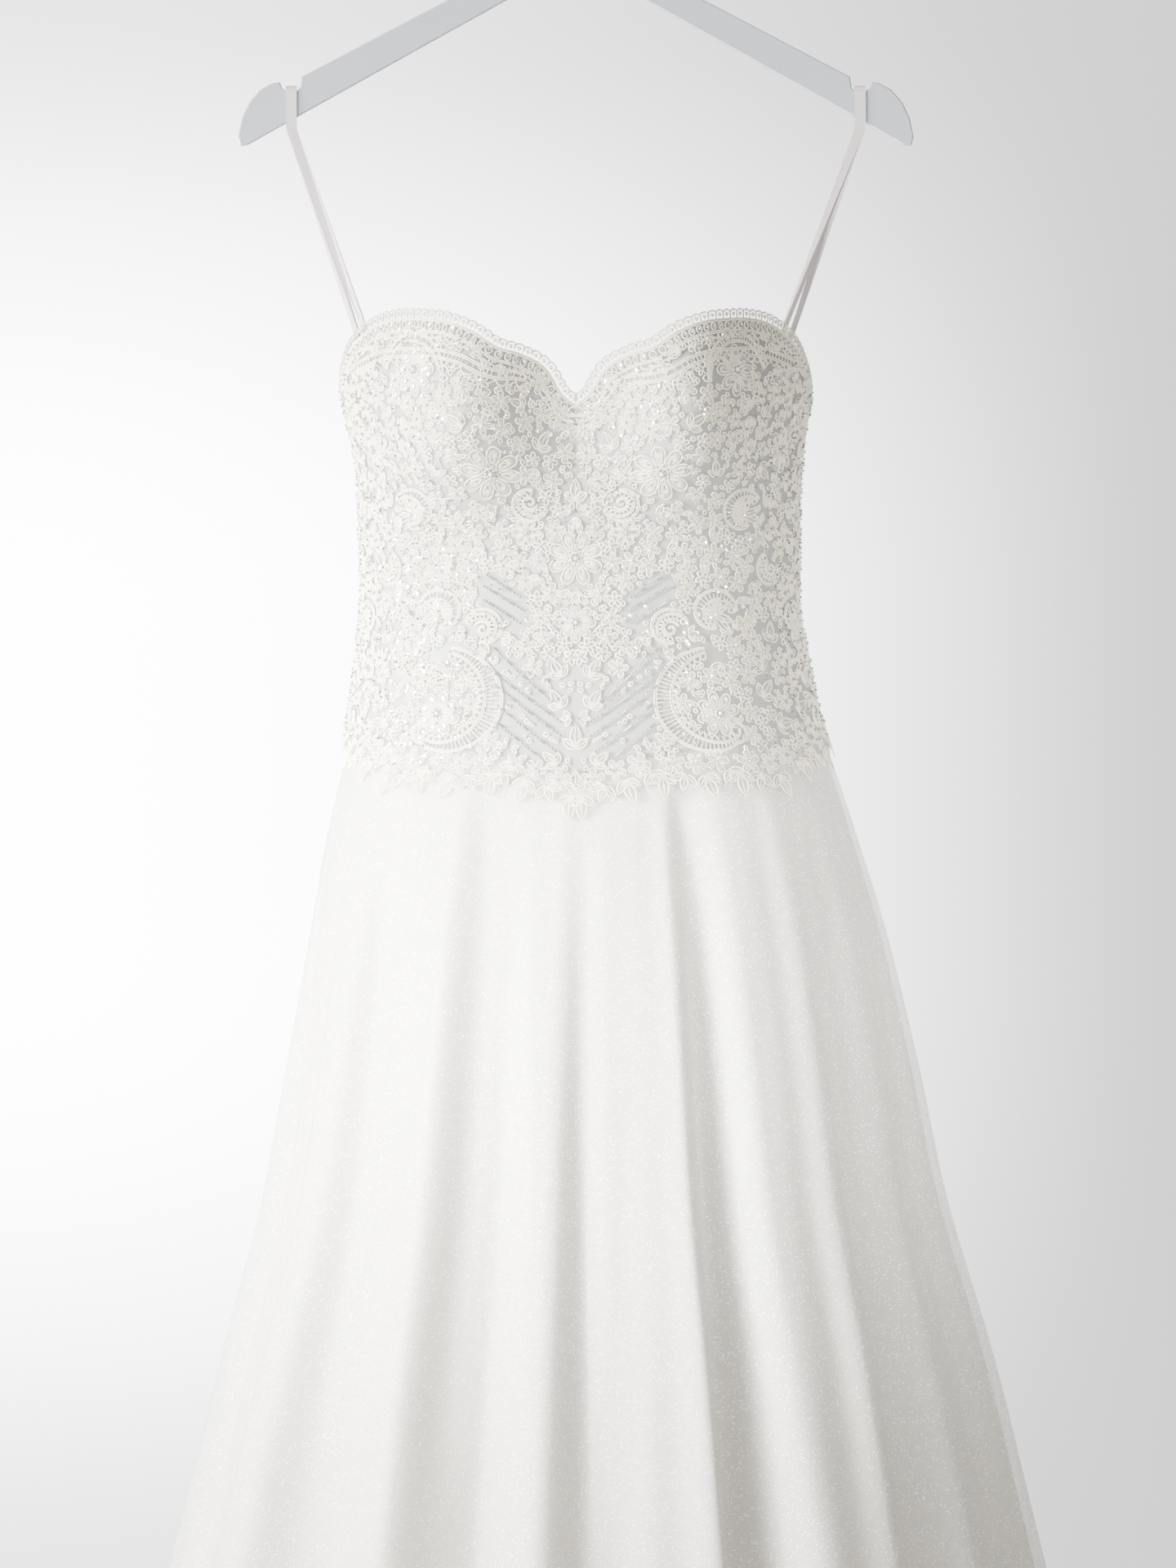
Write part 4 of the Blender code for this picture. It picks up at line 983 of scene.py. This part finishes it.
class Lace:
    """Draws motifs on the gown and keeps count of the places already covered."""

    def __init__(self):
        self.cords = Threads(CORD_RADIUS, False)
        self.fine = Threads(FINE_RADIUS, False)
        self.edge = Threads(EDGE_RADIUS, True)
        self.fills = Fills()
        self.pearls = Dots(*ball_shape(PEARL_RADIUS), PEARL_LIFT)
        self.seeds = Dots(*ball_shape(SEED_BEAD_RADIUS), BEAD_LIFT)
        self.ray_beads = Dots(*ball_shape(RAY_BEAD_RADIUS), RAY_LIFT)
        self.bugles = Dots(*tube_shape(BUGLE_LENGTH, BUGLE_RADIUS), RAY_LIFT)
        self.crystals = Dots(*ball_shape(CRYSTAL_RADIUS), BEAD_LIFT)
        self.sequins = Dots(*disc_shape(SEQUIN_RADIUS, SEQUIN_DISH), SEQUIN_LIFT)
        self.taken = np.zeros((MAP_WIDE, MAP_HIGH), bool)
        self.random = random.Random(SEED)

    def spot(self, angle, z, mirror):
        """A place on the gown with its mm per degree and per mm up, and the side that it is drawn on."""
        angle = -angle if mirror else angle
        _, round_it, up = surface_normals(np.array([float(angle)]), np.array([float(z)]))
        return angle, z, float(round_it[0]), float(up[0]), -1.0 if mirror else 1.0

    def put(self, spot, x, y, turn):
        """Angles and heights of a line drawn in mm about a spot, turned by an angle in degrees."""
        c, s = turned(turn)
        x = np.asarray(x, float)
        y = np.asarray(y, float)
        angle, z, round_it, up, flip = spot
        return angle + flip * (x * c - y * s) / round_it, z + (x * s + y * c) / up

    def lay(self, cords, spot, x, y, turn=0, closed=False, lift=0.0):
        """Lays a line drawn in mm about a spot as a cord."""
        angle, z = self.put(spot, x, y, turn)
        cords.add(angle, z, closed, lift)
        return angle, z

    def sew(self, dots, spot, x, y, turn, size):
        """Sews one bead or sequin at a place drawn in mm about a spot."""
        angle, z = self.put(spot, [x], [y], turn)
        dots.add(float(angle[0]), float(z[0]), size)

    def cover(self, spot, radius):
        self.mark(spot[0], spot[1], radius)

    def window(self, angle, z, radius):
        """Part of the map of covered places round a spot, and which of its squares are within reach."""
        x = float(girth_at(abs(angle), z))
        y = z - MAP_LOW
        reach = int(math.ceil(radius))
        low_x = max(int(x) - reach, 0)
        low_y = max(int(y) - reach, 0)
        part = self.taken[low_x : int(x) + reach + 1, low_y : int(y) + reach + 1]
        i, j = np.indices(part.shape)
        near = (i + low_x + 0.5 - x) ** 2 + (j + low_y + 0.5 - y) ** 2 < radius * radius
        return part, near

    def mark(self, angle, z, radius):
        if angle < -0.01:
            return
        part, near = self.window(angle, z, radius)
        part |= near

    def free(self, angle, z, radius):
        part, near = self.window(angle, z, radius)
        return not (part & near).any()

    def draw(self, kind, angle, z, size, turn, mirrored=True):
        """Draws a motif, and its mirror image on the other side unless it stands on the centre line."""
        for mirror in (False, True) if mirrored else (False,):
            getattr(self, "draw_" + kind)(self.spot(angle, z, mirror), size, turn)

    def cover_path(self, spot, x, y, turn, radius):
        a, h = self.put(spot, x, y, turn)
        for k in range(0, len(a), 2):
            self.mark(float(a[k]), float(h[k]), radius)

    def petal(self, spot, reach, base, wide, turn, x=0.0, y=0.0, fill=True, points=12):
        t = round_steps(points)
        u = base + (reach - base) * (1 - np.cos(t)) / 2
        v = wide * np.sin(t) * (0.55 + 0.45 * (1 - np.cos(t)) / 2)
        px, py = swung(x, y, u, v, turn)
        a, h = self.lay(self.cords, spot, px, py, closed=True)
        if fill:
            self.fills.add(a, h)
        if reach > 5.5 and abs(spot[0]) < 95:
            echo = 0.45 if reach < 9 else 0.62
            middle_x, middle_y = swung(x, y, (base + reach) / 2, 0, turn)
            ring = slice(None, None, 2)
            inner_x = middle_x + (px[ring] - middle_x) * echo
            inner_y = middle_y + (py[ring] - middle_y) * echo
            self.lay(self.fine, spot, inner_x, inner_y, closed=True)

    def draw_flower(self, spot, size, turn):
        petals = 8 if size > 10 else 6
        for k in range(petals):
            way = turn + 360.0 * k / petals
            self.petal(spot, size, size * 0.24, size * 0.27 * 8 / petals, way, points=14)
            if size > 12:
                self.petal(spot, size * 0.78, size * 0.34, size * 0.13, way, fill=False, points=10)
        ring = round_steps(12)
        eye = size * 0.2
        self.lay(self.cords, spot, eye * np.cos(ring), eye * np.sin(ring), closed=True, lift=0.4)
        self.pearls.add(spot[0], spot[1], 1.3 if size > 12 else 0.9)
        for k in range(6):
            c, s = turned(turn + 60.0 * k)
            reach = 2.6 if size > 12 else 1.8
            self.sew(self.seeds, spot, reach * c, reach * s, 0, 1.0)
        if size > 10:
            for k in range(petals):
                c, s = turned(turn + 360.0 * k / petals)
                self.sew(self.sequins, spot, size * 0.66 * c, size * 0.66 * s, 0, 0.9)
        self.cover(spot, size * 0.95)

    def leaf(self, spot, length, wide, turn, x=0.0, y=0.0, rib=True):
        t = np.linspace(0, 1, 6)
        half = wide * np.sin(math.pi * t) ** 0.8 * (1.15 - 0.4 * t)
        u = np.concatenate([t * length, t[-2:0:-1] * length])
        v = np.concatenate([half, -half[-2:0:-1]])
        self.fills.add(*self.lay(self.cords, spot, *swung(x, y, u, v, turn), closed=True))
        if rib:
            vein = np.linspace(0.05, 0.85, 3) * length
            self.lay(self.fine, spot, *swung(x, y, vein, 0, turn))

    def draw_leaf(self, spot, size, turn):
        """Spray of one long leaf between two short ones."""
        c, s = turned(turn)
        self.leaf(spot, size * 1.1, size * 0.26, turn, -size * 0.35 * c, -size * 0.35 * s)
        for side in (-1, 1):
            self.leaf(spot, size * 0.75, size * 0.2, turn + side * 52, -size * 0.4 * c, -size * 0.4 * s)
        self.cover(spot, size * 0.72)

    def band(self, spot, x, y, turn, half, loop):
        """Crescent between two doubled cords, with bars inside and scallop loops along its outer side."""
        x = np.asarray(x, float)
        y = np.asarray(y, float)
        dx = np.gradient(x)
        dy = np.gradient(y)
        norm = np.hypot(dx, dy)
        nx = dy / norm
        ny = -dx / norm
        length = np.concatenate([[0], np.cumsum(np.hypot(np.diff(x), np.diff(y)))])
        wide = half * (0.35 + 0.65 * np.sin(math.pi * length / length[-1]))
        for share, inset in ((-1, 0.0), (-1, 1.2), (1, -1.2), (1, 0.0)):
            side = share * wide + inset
            self.lay(self.cords, spot, x + nx * side, y + ny * side, turn)

        def place(at):
            return (np.interp(at, length, v) for v in (x, y, nx, ny, wide))

        bars = max(2, int(length[-1] / 2.6))
        for k in range(1, bars):
            at = length[-1] * k / bars
            mid_x, mid_y, way_x, way_y, reach = place(at)
            across = np.array([-1.0, 1.0]) * max(reach - 1.3, 0.3)
            self.lay(self.fine, spot, mid_x + way_x * across, mid_y + way_y * across, turn)
            if k % 2 == 0:
                self.sew(self.seeds, spot, mid_x, mid_y, turn, 0.8)
        loops = max(2, int(length[-1] / loop))
        line_x = []
        line_y = []
        for k in range(loops):
            for t in np.linspace(0, 1, 6, endpoint=k == loops - 1):
                at = length[-1] * (k + t) / loops
                mid_x, mid_y, way_x, way_y, reach = place(at)
                rise = reach + loop * 0.85 * math.sin(math.pi * t) ** 0.6
                line_x.append(mid_x + way_x * rise)
                line_y.append(mid_y + way_y * rise)
        self.lay(self.cords, spot, line_x, line_y, turn)

    def draw_arch(self, spot, size, turn):
        x, y = arc(size, 15, 185, 26, 0.92)
        self.band(spot, x, y, turn, 3.4, 4.6)
        self.cover_path(spot, x, y, turn, 6)

    def draw_scroll(self, spot, size, turn):
        x, y = arc(size * 0.85, 95, 300, 34, 0.72)
        self.band(spot, x[::-1], y[::-1], turn, 5.6, 4.8)
        self.spiral(spot, size * 0.2, x[-1], y[-1] + size * 0.12, 250, turn)
        self.cover_path(spot, x, y, turn, 7)

    def draw_fan(self, spot, size, turn):
        """Drop shape: a crescent that winds inward round a spray of petals."""
        x, y = arc(size * 0.85, -20, 240, 26, 0.45)
        self.band(spot, x[::-1], y[::-1], turn, 4.0, 4.6)
        for k in range(7):
            self.petal(spot, size * (0.62 - 0.03 * k), 1.2, size * 0.09, turn + 6 + 30 * k, points=9)
        self.leaf(spot, size * 0.8, size * 0.16, turn - 80)
        self.leaf(spot, size * 0.7, size * 0.14, turn - 48)
        self.pearls.add(spot[0], spot[1], 0.9)
        self.cover(spot, size * 0.55)
        self.cover_path(spot, x, y, turn, 5)

    def draw_curl(self, spot, size, turn):
        x, y = arc(size * 0.9, 0, 260, 22, 0.7)
        self.band(spot, x[::-1], y[::-1], turn, 2.4, 3.8)
        self.spiral(spot, size * 0.45, 0.0, 0.0, 0, turn)
        self.cover(spot, size * 0.5)
        self.cover_path(spot, x, y, turn, 4)

    def spiral(self, spot, radius, x, y, start, turn):
        t = np.linspace(0, 1, 20)
        a = np.radians(start + 520 * t)
        r = radius * (1 - 0.8 * t)
        for inset in (0.0, 1.1):
            line = np.maximum(r - inset, 0.3)
            self.lay(self.cords, spot, x + line * np.cos(a), y + line * np.sin(a), turn)

    def draw_rosette(self, spot, size, turn):
        for k in range(5):
            self.petal(spot, size, size * 0.2, size * 0.36, turn + 72 * k, points=8)
        if turn < 150:
            self.sequins.add(spot[0], spot[1], 1.0, turn)
        self.seeds.add(spot[0], spot[1], 1.0)
        self.cover(spot, size * 0.95)

    def draw_sprig(self, spot, size, turn):
        for k in range(3):
            self.leaf(spot, size * 1.25, size * 0.3, turn + (k - 1) * 55)
        self.seeds.add(spot[0], spot[1], 1.0)
        self.cover(spot, size * 0.8)

    def draw_pod(self, spot, size, turn):
        for side in (-32, 32):
            self.leaf(spot, size * 1.25, size * 0.34, turn + side, rib=False)
        self.cover(spot, size * 0.8)

    def draw_ringlet(self, spot, size, turn):
        t = round_steps(8)
        self.lay(self.cords, spot, size * 0.9 * np.cos(t), size * 0.6 * np.sin(t), turn, closed=True)
        if turn < 70:
            self.seeds.add(spot[0], spot[1], 0.9)
        self.cover(spot, size * 0.9)

    def fill_between(self, low_angle, high_angle, fillers):
        """Scatters small motifs over the cloth that is still bare, the same on both sides."""
        for kind, size, spacing, tries in fillers:
            for _ in range(tries):
                z = self.random.uniform(LACE_LOW_Z, LACE_TOP_Z)
                low_x = float(girth_at(low_angle, z))
                high_x = float(girth_at(high_angle, z))
                angle = float(angle_at(self.random.uniform(low_x, high_x), z))
                turn = self.random.uniform(0, 360)
                top = float(neckline_z(angle)) - 9.5
                low = float(lace_hem_z(angle))
                if z > top - size * 0.5 or z < low + size * 0.7:
                    continue
                if self.cleared(angle, z, size) or not self.free(angle, z, size * spacing):
                    continue
                self.draw(kind, angle, z, size, turn)

    def cleared(self, angle, z, size):
        """True beside a line of beads, where the satin stays bare."""
        reach = RAY_CLEARANCE + size * 0.6
        for inner_angle, inner_z, outer_angle, outer_z in RAYS:
            run = (outer_angle - inner_angle) * RAY_MM_PER_DEG
            rise = outer_z - inner_z
            x = (angle - inner_angle) * RAY_MM_PER_DEG
            y = z - inner_z
            share = min(max((x * run + y * rise) / (run * run + rise * rise), 0.0), 1.0)
            if math.hypot(x - run * share, y - rise * share) < reach:
                return True
        return False

    def draw_rays(self):
        for inner_angle, inner_z, outer_angle, outer_z in RAYS:
            length = math.hypot((outer_angle - inner_angle) * RAY_MM_PER_DEG, outer_z - inner_z)
            way = math.atan2(outer_z - inner_z, (outer_angle - inner_angle) * RAY_MM_PER_DEG)
            at = 0.0
            k = 0
            while at < length:
                bugle = k % 4 == 3
                at += 3.4 if bugle else 1.2
                angle = inner_angle + (outer_angle - inner_angle) * at / length
                z = inner_z + (outer_z - inner_z) * at / length
                for side in (-1, 1):
                    if bugle:
                        self.bugles.add(side * angle, z, 1.0, side * way)
                    else:
                        self.ray_beads.add(side * angle, z, 1.0)
                at += 3.2 if bugle else 1.3
                k += 1

    def scatter_sparkle(self):
        """Small crystals and sequins sewn on between the larger motifs."""
        for k in range(SPARKLES):
            z = self.random.uniform(LACE_LOW_Z + 6.0, LACE_TOP_Z)
            angle = self.random.uniform(-176.0, 176.0)
            turn = self.random.uniform(0, 2 * math.pi)
            inside = float(lace_hem_z(angle)) + 6.0 < z < float(neckline_z(angle)) - 3.0
            if not inside or self.cleared(abs(angle), z, 0.0):
                continue
            if k % 3 == 0:
                self.sequins.add(angle, z, 0.75, turn)
            else:
                self.crystals.add(angle, z, self.random.uniform(0.7, 1.2), turn)

    def draw_edge(self):
        """Scalloped corded edge along the whole neckline, with a second corded band across each cup."""
        line = EdgeLine()
        steps = np.linspace(0, line.total, 460)
        for drop in EDGE_CORD_DROPS:
            self.cords.add(*line.along(steps, np.full(len(steps), drop)))
        self.edge.add(*line.loops(0.2, EDGE_LOOP_HEIGHT))
        self.cords.add(*line.loops(EDGE_CORD_DROPS[-1], -EDGE_HANGING_LOOP))
        for k in range(line.count):
            self.draw_scallop(line, k)
        for side in (-1, 1):
            self.draw_cup_band(line, side)

    def draw_scallop(self, line, k):
        """Ring with a bead in one scallop, and a smaller ring outside it."""
        mid = line.total * (k + 0.5) / line.count
        t = round_steps(8)
        ring = line.along(mid + 2.0 * np.cos(t), EDGE_RING_DROP + 2.3 * np.sin(t))
        self.cords.add(*ring, closed=True)
        outer = line.along(mid + 1.1 * np.cos(t[::2]), -2.2 + 1.2 * np.sin(t[::2]))
        self.edge.add(*outer, closed=True)
        a, h = line.along(mid, EDGE_RING_DROP)
        if k % 3 == 0:
            self.sequins.add(float(a), float(h), 0.7)
        else:
            self.seeds.add(float(a), float(h), 0.9)

    def draw_cup_band(self, line, side):
        """Corded band across one cup, with rungs and a row of hanging loops."""
        ends = sorted(float(np.interp(side * a, line.angle, line.length)) for a in CUP_BAND_ANGLES)
        row = np.linspace(ends[0], ends[1], CUP_BAND_STEPS)
        rise = CUP_BAND_DROP * np.sin(math.pi * np.linspace(0.12, 0.94, CUP_BAND_STEPS)) ** 0.5
        for inset in CUP_BAND_CORDS:
            self.cords.add(*line.along(row, rise + inset))
        for k in range(0, CUP_BAND_STEPS, 2):
            self.fine.add(*line.along(np.full(2, row[k]), rise[k] + np.array([1.6, 4.8])))
        if side > 0:
            for k in range(0, CUP_BAND_STEPS, 4):
                a, h = line.along(row[k], rise[k] + 3.2)
                self.mark(float(a), float(h), 4.2)
        for k in range(1, CUP_BAND_STEPS - 2, 4):
            t = np.linspace(0, 1, 6)
            at = row[k] + (row[k + 1] - row[k]) * 4 * t
            hang = EDGE_HANGING_LOOP * np.sin(math.pi * t) ** LOOP_ROUNDNESS
            self.cords.add(*line.along(at, rise[k] + CUP_BAND_CORDS[-1] + hang))

    def draw_lower_row(self):
        """Flowers and sprays in a row along the lace's lower edge, over the seam of the skirt."""
        x = 4.0
        k = 0
        while x < 455:
            z = -590.0
            for _ in range(3):
                angle = float(angle_at(x, z))
                z = float(lace_hem_z(angle))
            lift, kind, size, turn = LOWER_ROW[k % len(LOWER_ROW)]
            if angle < 175:
                self.draw(kind, angle, z + lift, size, turn)
            x += LOWER_ROW_STEP
            k += 1

    def draw_all(self):
        for table in (FRONT_MOTIFS, BACK_MOTIFS):
            for kind, angle, z, size, turn, both in table:
                self.draw(kind, angle, z, size, turn, both)
        self.draw_rays()
        self.draw_edge()
        self.draw_lower_row()
        self.fill_between(1.0, SIDE_DEG, FRONT_FILLERS)
        self.fill_between(SIDE_DEG, 176, BACK_FILLERS)
        self.scatter_sparkle()


def bodice_angles():
    back = np.linspace(SIDE_DEG, BACK_EDGE_DEG, 44)
    return np.concatenate([-back[::-1][:-1], np.linspace(-SIDE_DEG, SIDE_DEG, 151), back[1:]])


def build_net(material):
    """Fine net that the lace is worked on, cut in scallops along its lower edge."""
    angles = bodice_angles()
    top = neckline_z(angles) - 1.0
    scallop = np.abs(np.sin(np.radians(angles) * NET_SCALLOP_WAVES))
    low = lace_hem_z(angles) + NET_SCALLOP - NET_SCALLOP * scallop
    rows = np.linspace(0, 1, 50)
    z = top[None, :] + (low - top)[None, :] * rows[:, None]
    angle = np.broadcast_to(angles, z.shape)
    normals, _, _ = surface_normals(angle, z)
    lift = NET_LIFT + over_skirt(angle, z)
    grid = gown_surface(angle, z) + normals * lift[..., None]
    return mesh_object("lace_net", grid.reshape(-1, 3), grid_faces(*z.shape, 0, True), material)


def build_bodice(material):
    angles = bodice_angles()
    top = neckline_z(angles)
    low = seam_z(angles)
    rows = np.linspace(0, 1, 60)
    outer = np.array([gown_surface(angles, top + (low - top) * t) for t in rows])
    z = np.array([top + (low - top) * t for t in rows])
    normals = np.array([surface_normals(angles, row)[0] for row in z])
    inner = outer - normals * BODICE_WALL
    inner[0, :, 2] = outer[0, :, 2]
    inner[-1, :, 2] = outer[-1, :, 2]
    return wall_object("bodice_cloth", outer, inner, material)


def build_skirt(satin, tulle):
    rows = np.linspace(0, 1, SKIRT_ROWS) ** ROW_CROWDING
    outer = skirt_points(rows, TULLE_STANDOFF)
    net = mesh_object("skirt_tulle", outer.reshape(-1, 3), grid_faces(*outer.shape[:2], 0, True), tulle)
    under = skirt_points(rows, SATIN_STANDOFF)
    lining = under - grid_normals(under) * SATIN_WALL
    lining[0, :, 2] = under[0, :, 2]
    lining[-1, :, 2] = under[-1, :, 2]
    cloth = wall_object("skirt_satin", under, lining, satin)
    return net, cloth


def build_lace(materials):
    lace = Lace()
    lace.draw_all()
    return [
        lace.cords.build("lace_cords_front_left", materials["thread"], "front_left"),
        lace.cords.build("lace_cords_front_right", materials["thread"], "front_right"),
        lace.cords.build("lace_cords_back", materials["thread"], "back"),
        lace.edge.build("neckline_edge_cords", materials["shaded_edge_thread"]),
        build_net(materials["net"]),
        lace.fine.build("lace_fine_cords", materials["thread"]),
        lace.fills.build("lace_fills", materials["fill"]),
        lace.pearls.build("lace_pearls", materials["pearl"], True),
        lace.seeds.build("lace_seed_beads", materials["seed"], True),
        lace.crystals.build("lace_crystals", materials["silver"], False),
        lace.ray_beads.build("lace_ray_beads", materials["silver"], True),
        lace.bugles.build("lace_bugle_beads", materials["silver"], True),
        lace.sequins.build("lace_sequins", materials["sequin"], False),
    ]


def set_node_material(frame, node, material):
    o = frame["nodes"][node]
    o.data.materials.clear()
    o.data.materials.append(material)


def build_stage():
    """Plain pale floor, round, and small enough to stay under the photo's view."""
    sides = 64
    turn = np.arange(sides) * 2 * math.pi / sides
    level = np.full(sides, FLOOR_Z)
    rim = np.stack([FLOOR_RADIUS * np.cos(turn), FLOOR_RADIUS * np.sin(turn), level], axis=1)
    points = np.concatenate([rim, [[0.0, 0.0, FLOOR_Z]]])
    k = np.arange(sides)
    faces = np.stack([k, (k + 1) % sides, np.full(sides, sides)], axis=1)
    paper = plain("stage_paper", PAPER, 0.9)
    mesh_object("stage_floor", points, faces, paper, False)


def add_area_light(name, place, target, size, power, spread):
    data = bpy.data.lights.new(name, "AREA")
    data.shape = "RECTANGLE"
    data.size = size[0]
    data.size_y = size[1]
    data.energy = power
    data.spread = math.radians(spread)
    o = bpy.data.objects.new(name, data)
    o.location = place
    o.rotation_euler = (Vector(target) - Vector(place)).to_track_quat("-Z", "Y").to_euler()
    bpy.context.scene.collection.objects.link(o)


def map_range(tree, value, low, high, to_low, to_high):
    node = tree.nodes.new("ShaderNodeMapRange")
    node.interpolation_type = "SMOOTHSTEP"
    tree.links.new(value, node.inputs["Value"])
    node.inputs["From Min"].default_value = low
    node.inputs["From Max"].default_value = high
    node.inputs["To Min"].default_value = to_low
    node.inputs["To Max"].default_value = to_high
    return node.outputs["Result"]


def build_world():
    """Dim warm room with a bright ceiling, seen past the gown as a pale wall with a painted glow of window
    light on the left.
    """
    world = bpy.data.worlds.new("soft_room")
    world.use_nodes = True
    tree = world.node_tree
    way = tree.nodes.new("ShaderNodeSeparateXYZ")
    tree.links.new(tree.nodes.new("ShaderNodeTexCoord").outputs["Generated"], way.inputs["Vector"])
    seen = tree.nodes.new("ShaderNodeLightPath").outputs["Is Camera Ray"]
    room = map_range(tree, way.outputs["Z"], 0.45, 0.8, ROOM_DIM, ROOM_CEILING)
    across = map_range(tree, way.outputs["X"], -0.045, 0.045, 1.0, 0.0)
    level = maths(tree, "ABSOLUTE", way.outputs["Z"], 0.0)
    upright = map_range(tree, level, 0.012, 0.058, 1.0, WALL_GLOW_AT_EDGES)
    # Painted light: the glow on the wall is seen by camera rays only.
    glow = maths(tree, "MULTIPLY", maths(tree, "MULTIPLY", across, upright), WALL_GLOW)
    wall = maths(tree, "ADD", glow, WALL_BASE)
    strength = tree.nodes.new("ShaderNodeMix")
    for socket, source in zip(strength.inputs[0:1] + strength.inputs[2:4], (seen, room, wall)):
        tree.links.new(source, socket)
    back = tree.nodes["Background"]
    tree.links.new(strength.outputs[0], back.inputs["Strength"])
    tree.links.new(mixed_colour(tree, seen, ROOM_COLOUR, WALL_COLOUR), back.inputs["Color"])
    bpy.context.scene.world = world


def build_lights():
    for light in LIGHTS:
        add_area_light(*light)


def build_camera():
    data = bpy.data.cameras.new("photo_camera")
    data.sensor_width = SENSOR
    view_height = PHOTO_HEIGHT_PIXELS * PIXEL
    data.lens = SENSOR * CAMERA_DISTANCE / view_height
    data.clip_end = 40.0
    o = bpy.data.objects.new("photo_camera", data)
    o.location = (PHOTO_CENTRE_X * MM, -CAMERA_DISTANCE * MM, PHOTO_CENTRE_Z * MM)
    o.rotation_euler = (math.radians(90), 0, 0)
    bpy.context.scene.collection.objects.link(o)
    bpy.context.scene.camera = o


def lace_materials():
    return {
        "thread": thread_material("lace_thread", THREAD, 0.6),
        # Darker copy of the lace thread: painted shade on the neckline edge cords.
        "shaded_edge_thread": thread_material("shaded_edge_thread", SHADED_EDGE_THREAD, 0.6),
        "fill": fill_material(),
        "net": plain("lace_net_look", LACE_NET, 0.8, Alpha=0.12),
        "pearl": bead_material("pearl", PEARL, 0.2, 0.15),
        "seed": bead_material("seed_bead", SEED_BEAD, 0.12, 0.45),
        "silver": bead_material("silver_bead", SILVER_BEAD, 0.13, 0.6),
        "sequin": sequin_material(),
    }


def dress_nodes(frame):
    """Materials of the nodes that keep their own solids."""
    ribbon = plain("ribbon_look", RIBBON, 0.3)
    chrome = plain("chrome_look", CHROME, 0.12, Metallic=1.0)
    tape = plain("zip_tape_look", ZIP_TAPE, 0.6)
    acrylic = plain("frosted_acrylic_look", ACRYLIC, 0.3, Transmission_Weight=0.5, IOR=1.49)
    set_node_material(frame, "hanger_body", acrylic)
    for node in ("hanger_hook", "zip_slider", "zip_pull"):
        set_node_material(frame, node, chrome)
    for node in ("hanger_loop_left", "hanger_loop_right"):
        set_node_material(frame, node, ribbon)
    set_node_material(frame, "zip_chain", tape)


def main():
    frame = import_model()
    materials = lace_materials()
    # The bodice satin's dark colour is painted shade among the lace cords.
    shaded_bodice_satin = satin_material("bodice_satin_shaded_look", BODICE_SATIN_SHADED, BODICE_SATIN_SHADED_DARKER, 0.42)
    skirt_satin = satin_material("skirt_satin_look", SKIRT_SATIN, SKIRT_SATIN_DARK, 0.55)
    bodice = build_bodice(shaded_bodice_satin)
    net, cloth = build_skirt(skirt_satin, tulle_material())
    lace = build_lace(materials)
    pieces = [bodice, net, cloth] + lace
    for o in pieces:
        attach(o, "gown")
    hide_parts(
        "bodice_centre_front",
        "bodice_side_front_left",
        "bodice_side_front_right",
        "bodice_side_back_left",
        "bodice_side_back_right",
        "bodice_back_left",
        "bodice_back_right",
    )
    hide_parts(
        "skirt_satin_front",
        "skirt_satin_side_front_left",
        "skirt_satin_side_front_right",
        "skirt_satin_side_back_left",
        "skirt_satin_side_back_right",
        "skirt_satin_back_left",
        "skirt_satin_back_right",
    )
    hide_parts("skirt_tulle_front", "skirt_tulle_back_left", "skirt_tulle_back_right")
    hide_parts("lace_front")
    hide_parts("lace_back_left", "lace_back_right")
    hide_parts("neckline_lace_edge")
    dress_nodes(frame)
    build_stage()
    build_world()
    build_lights()
    build_camera()


main()
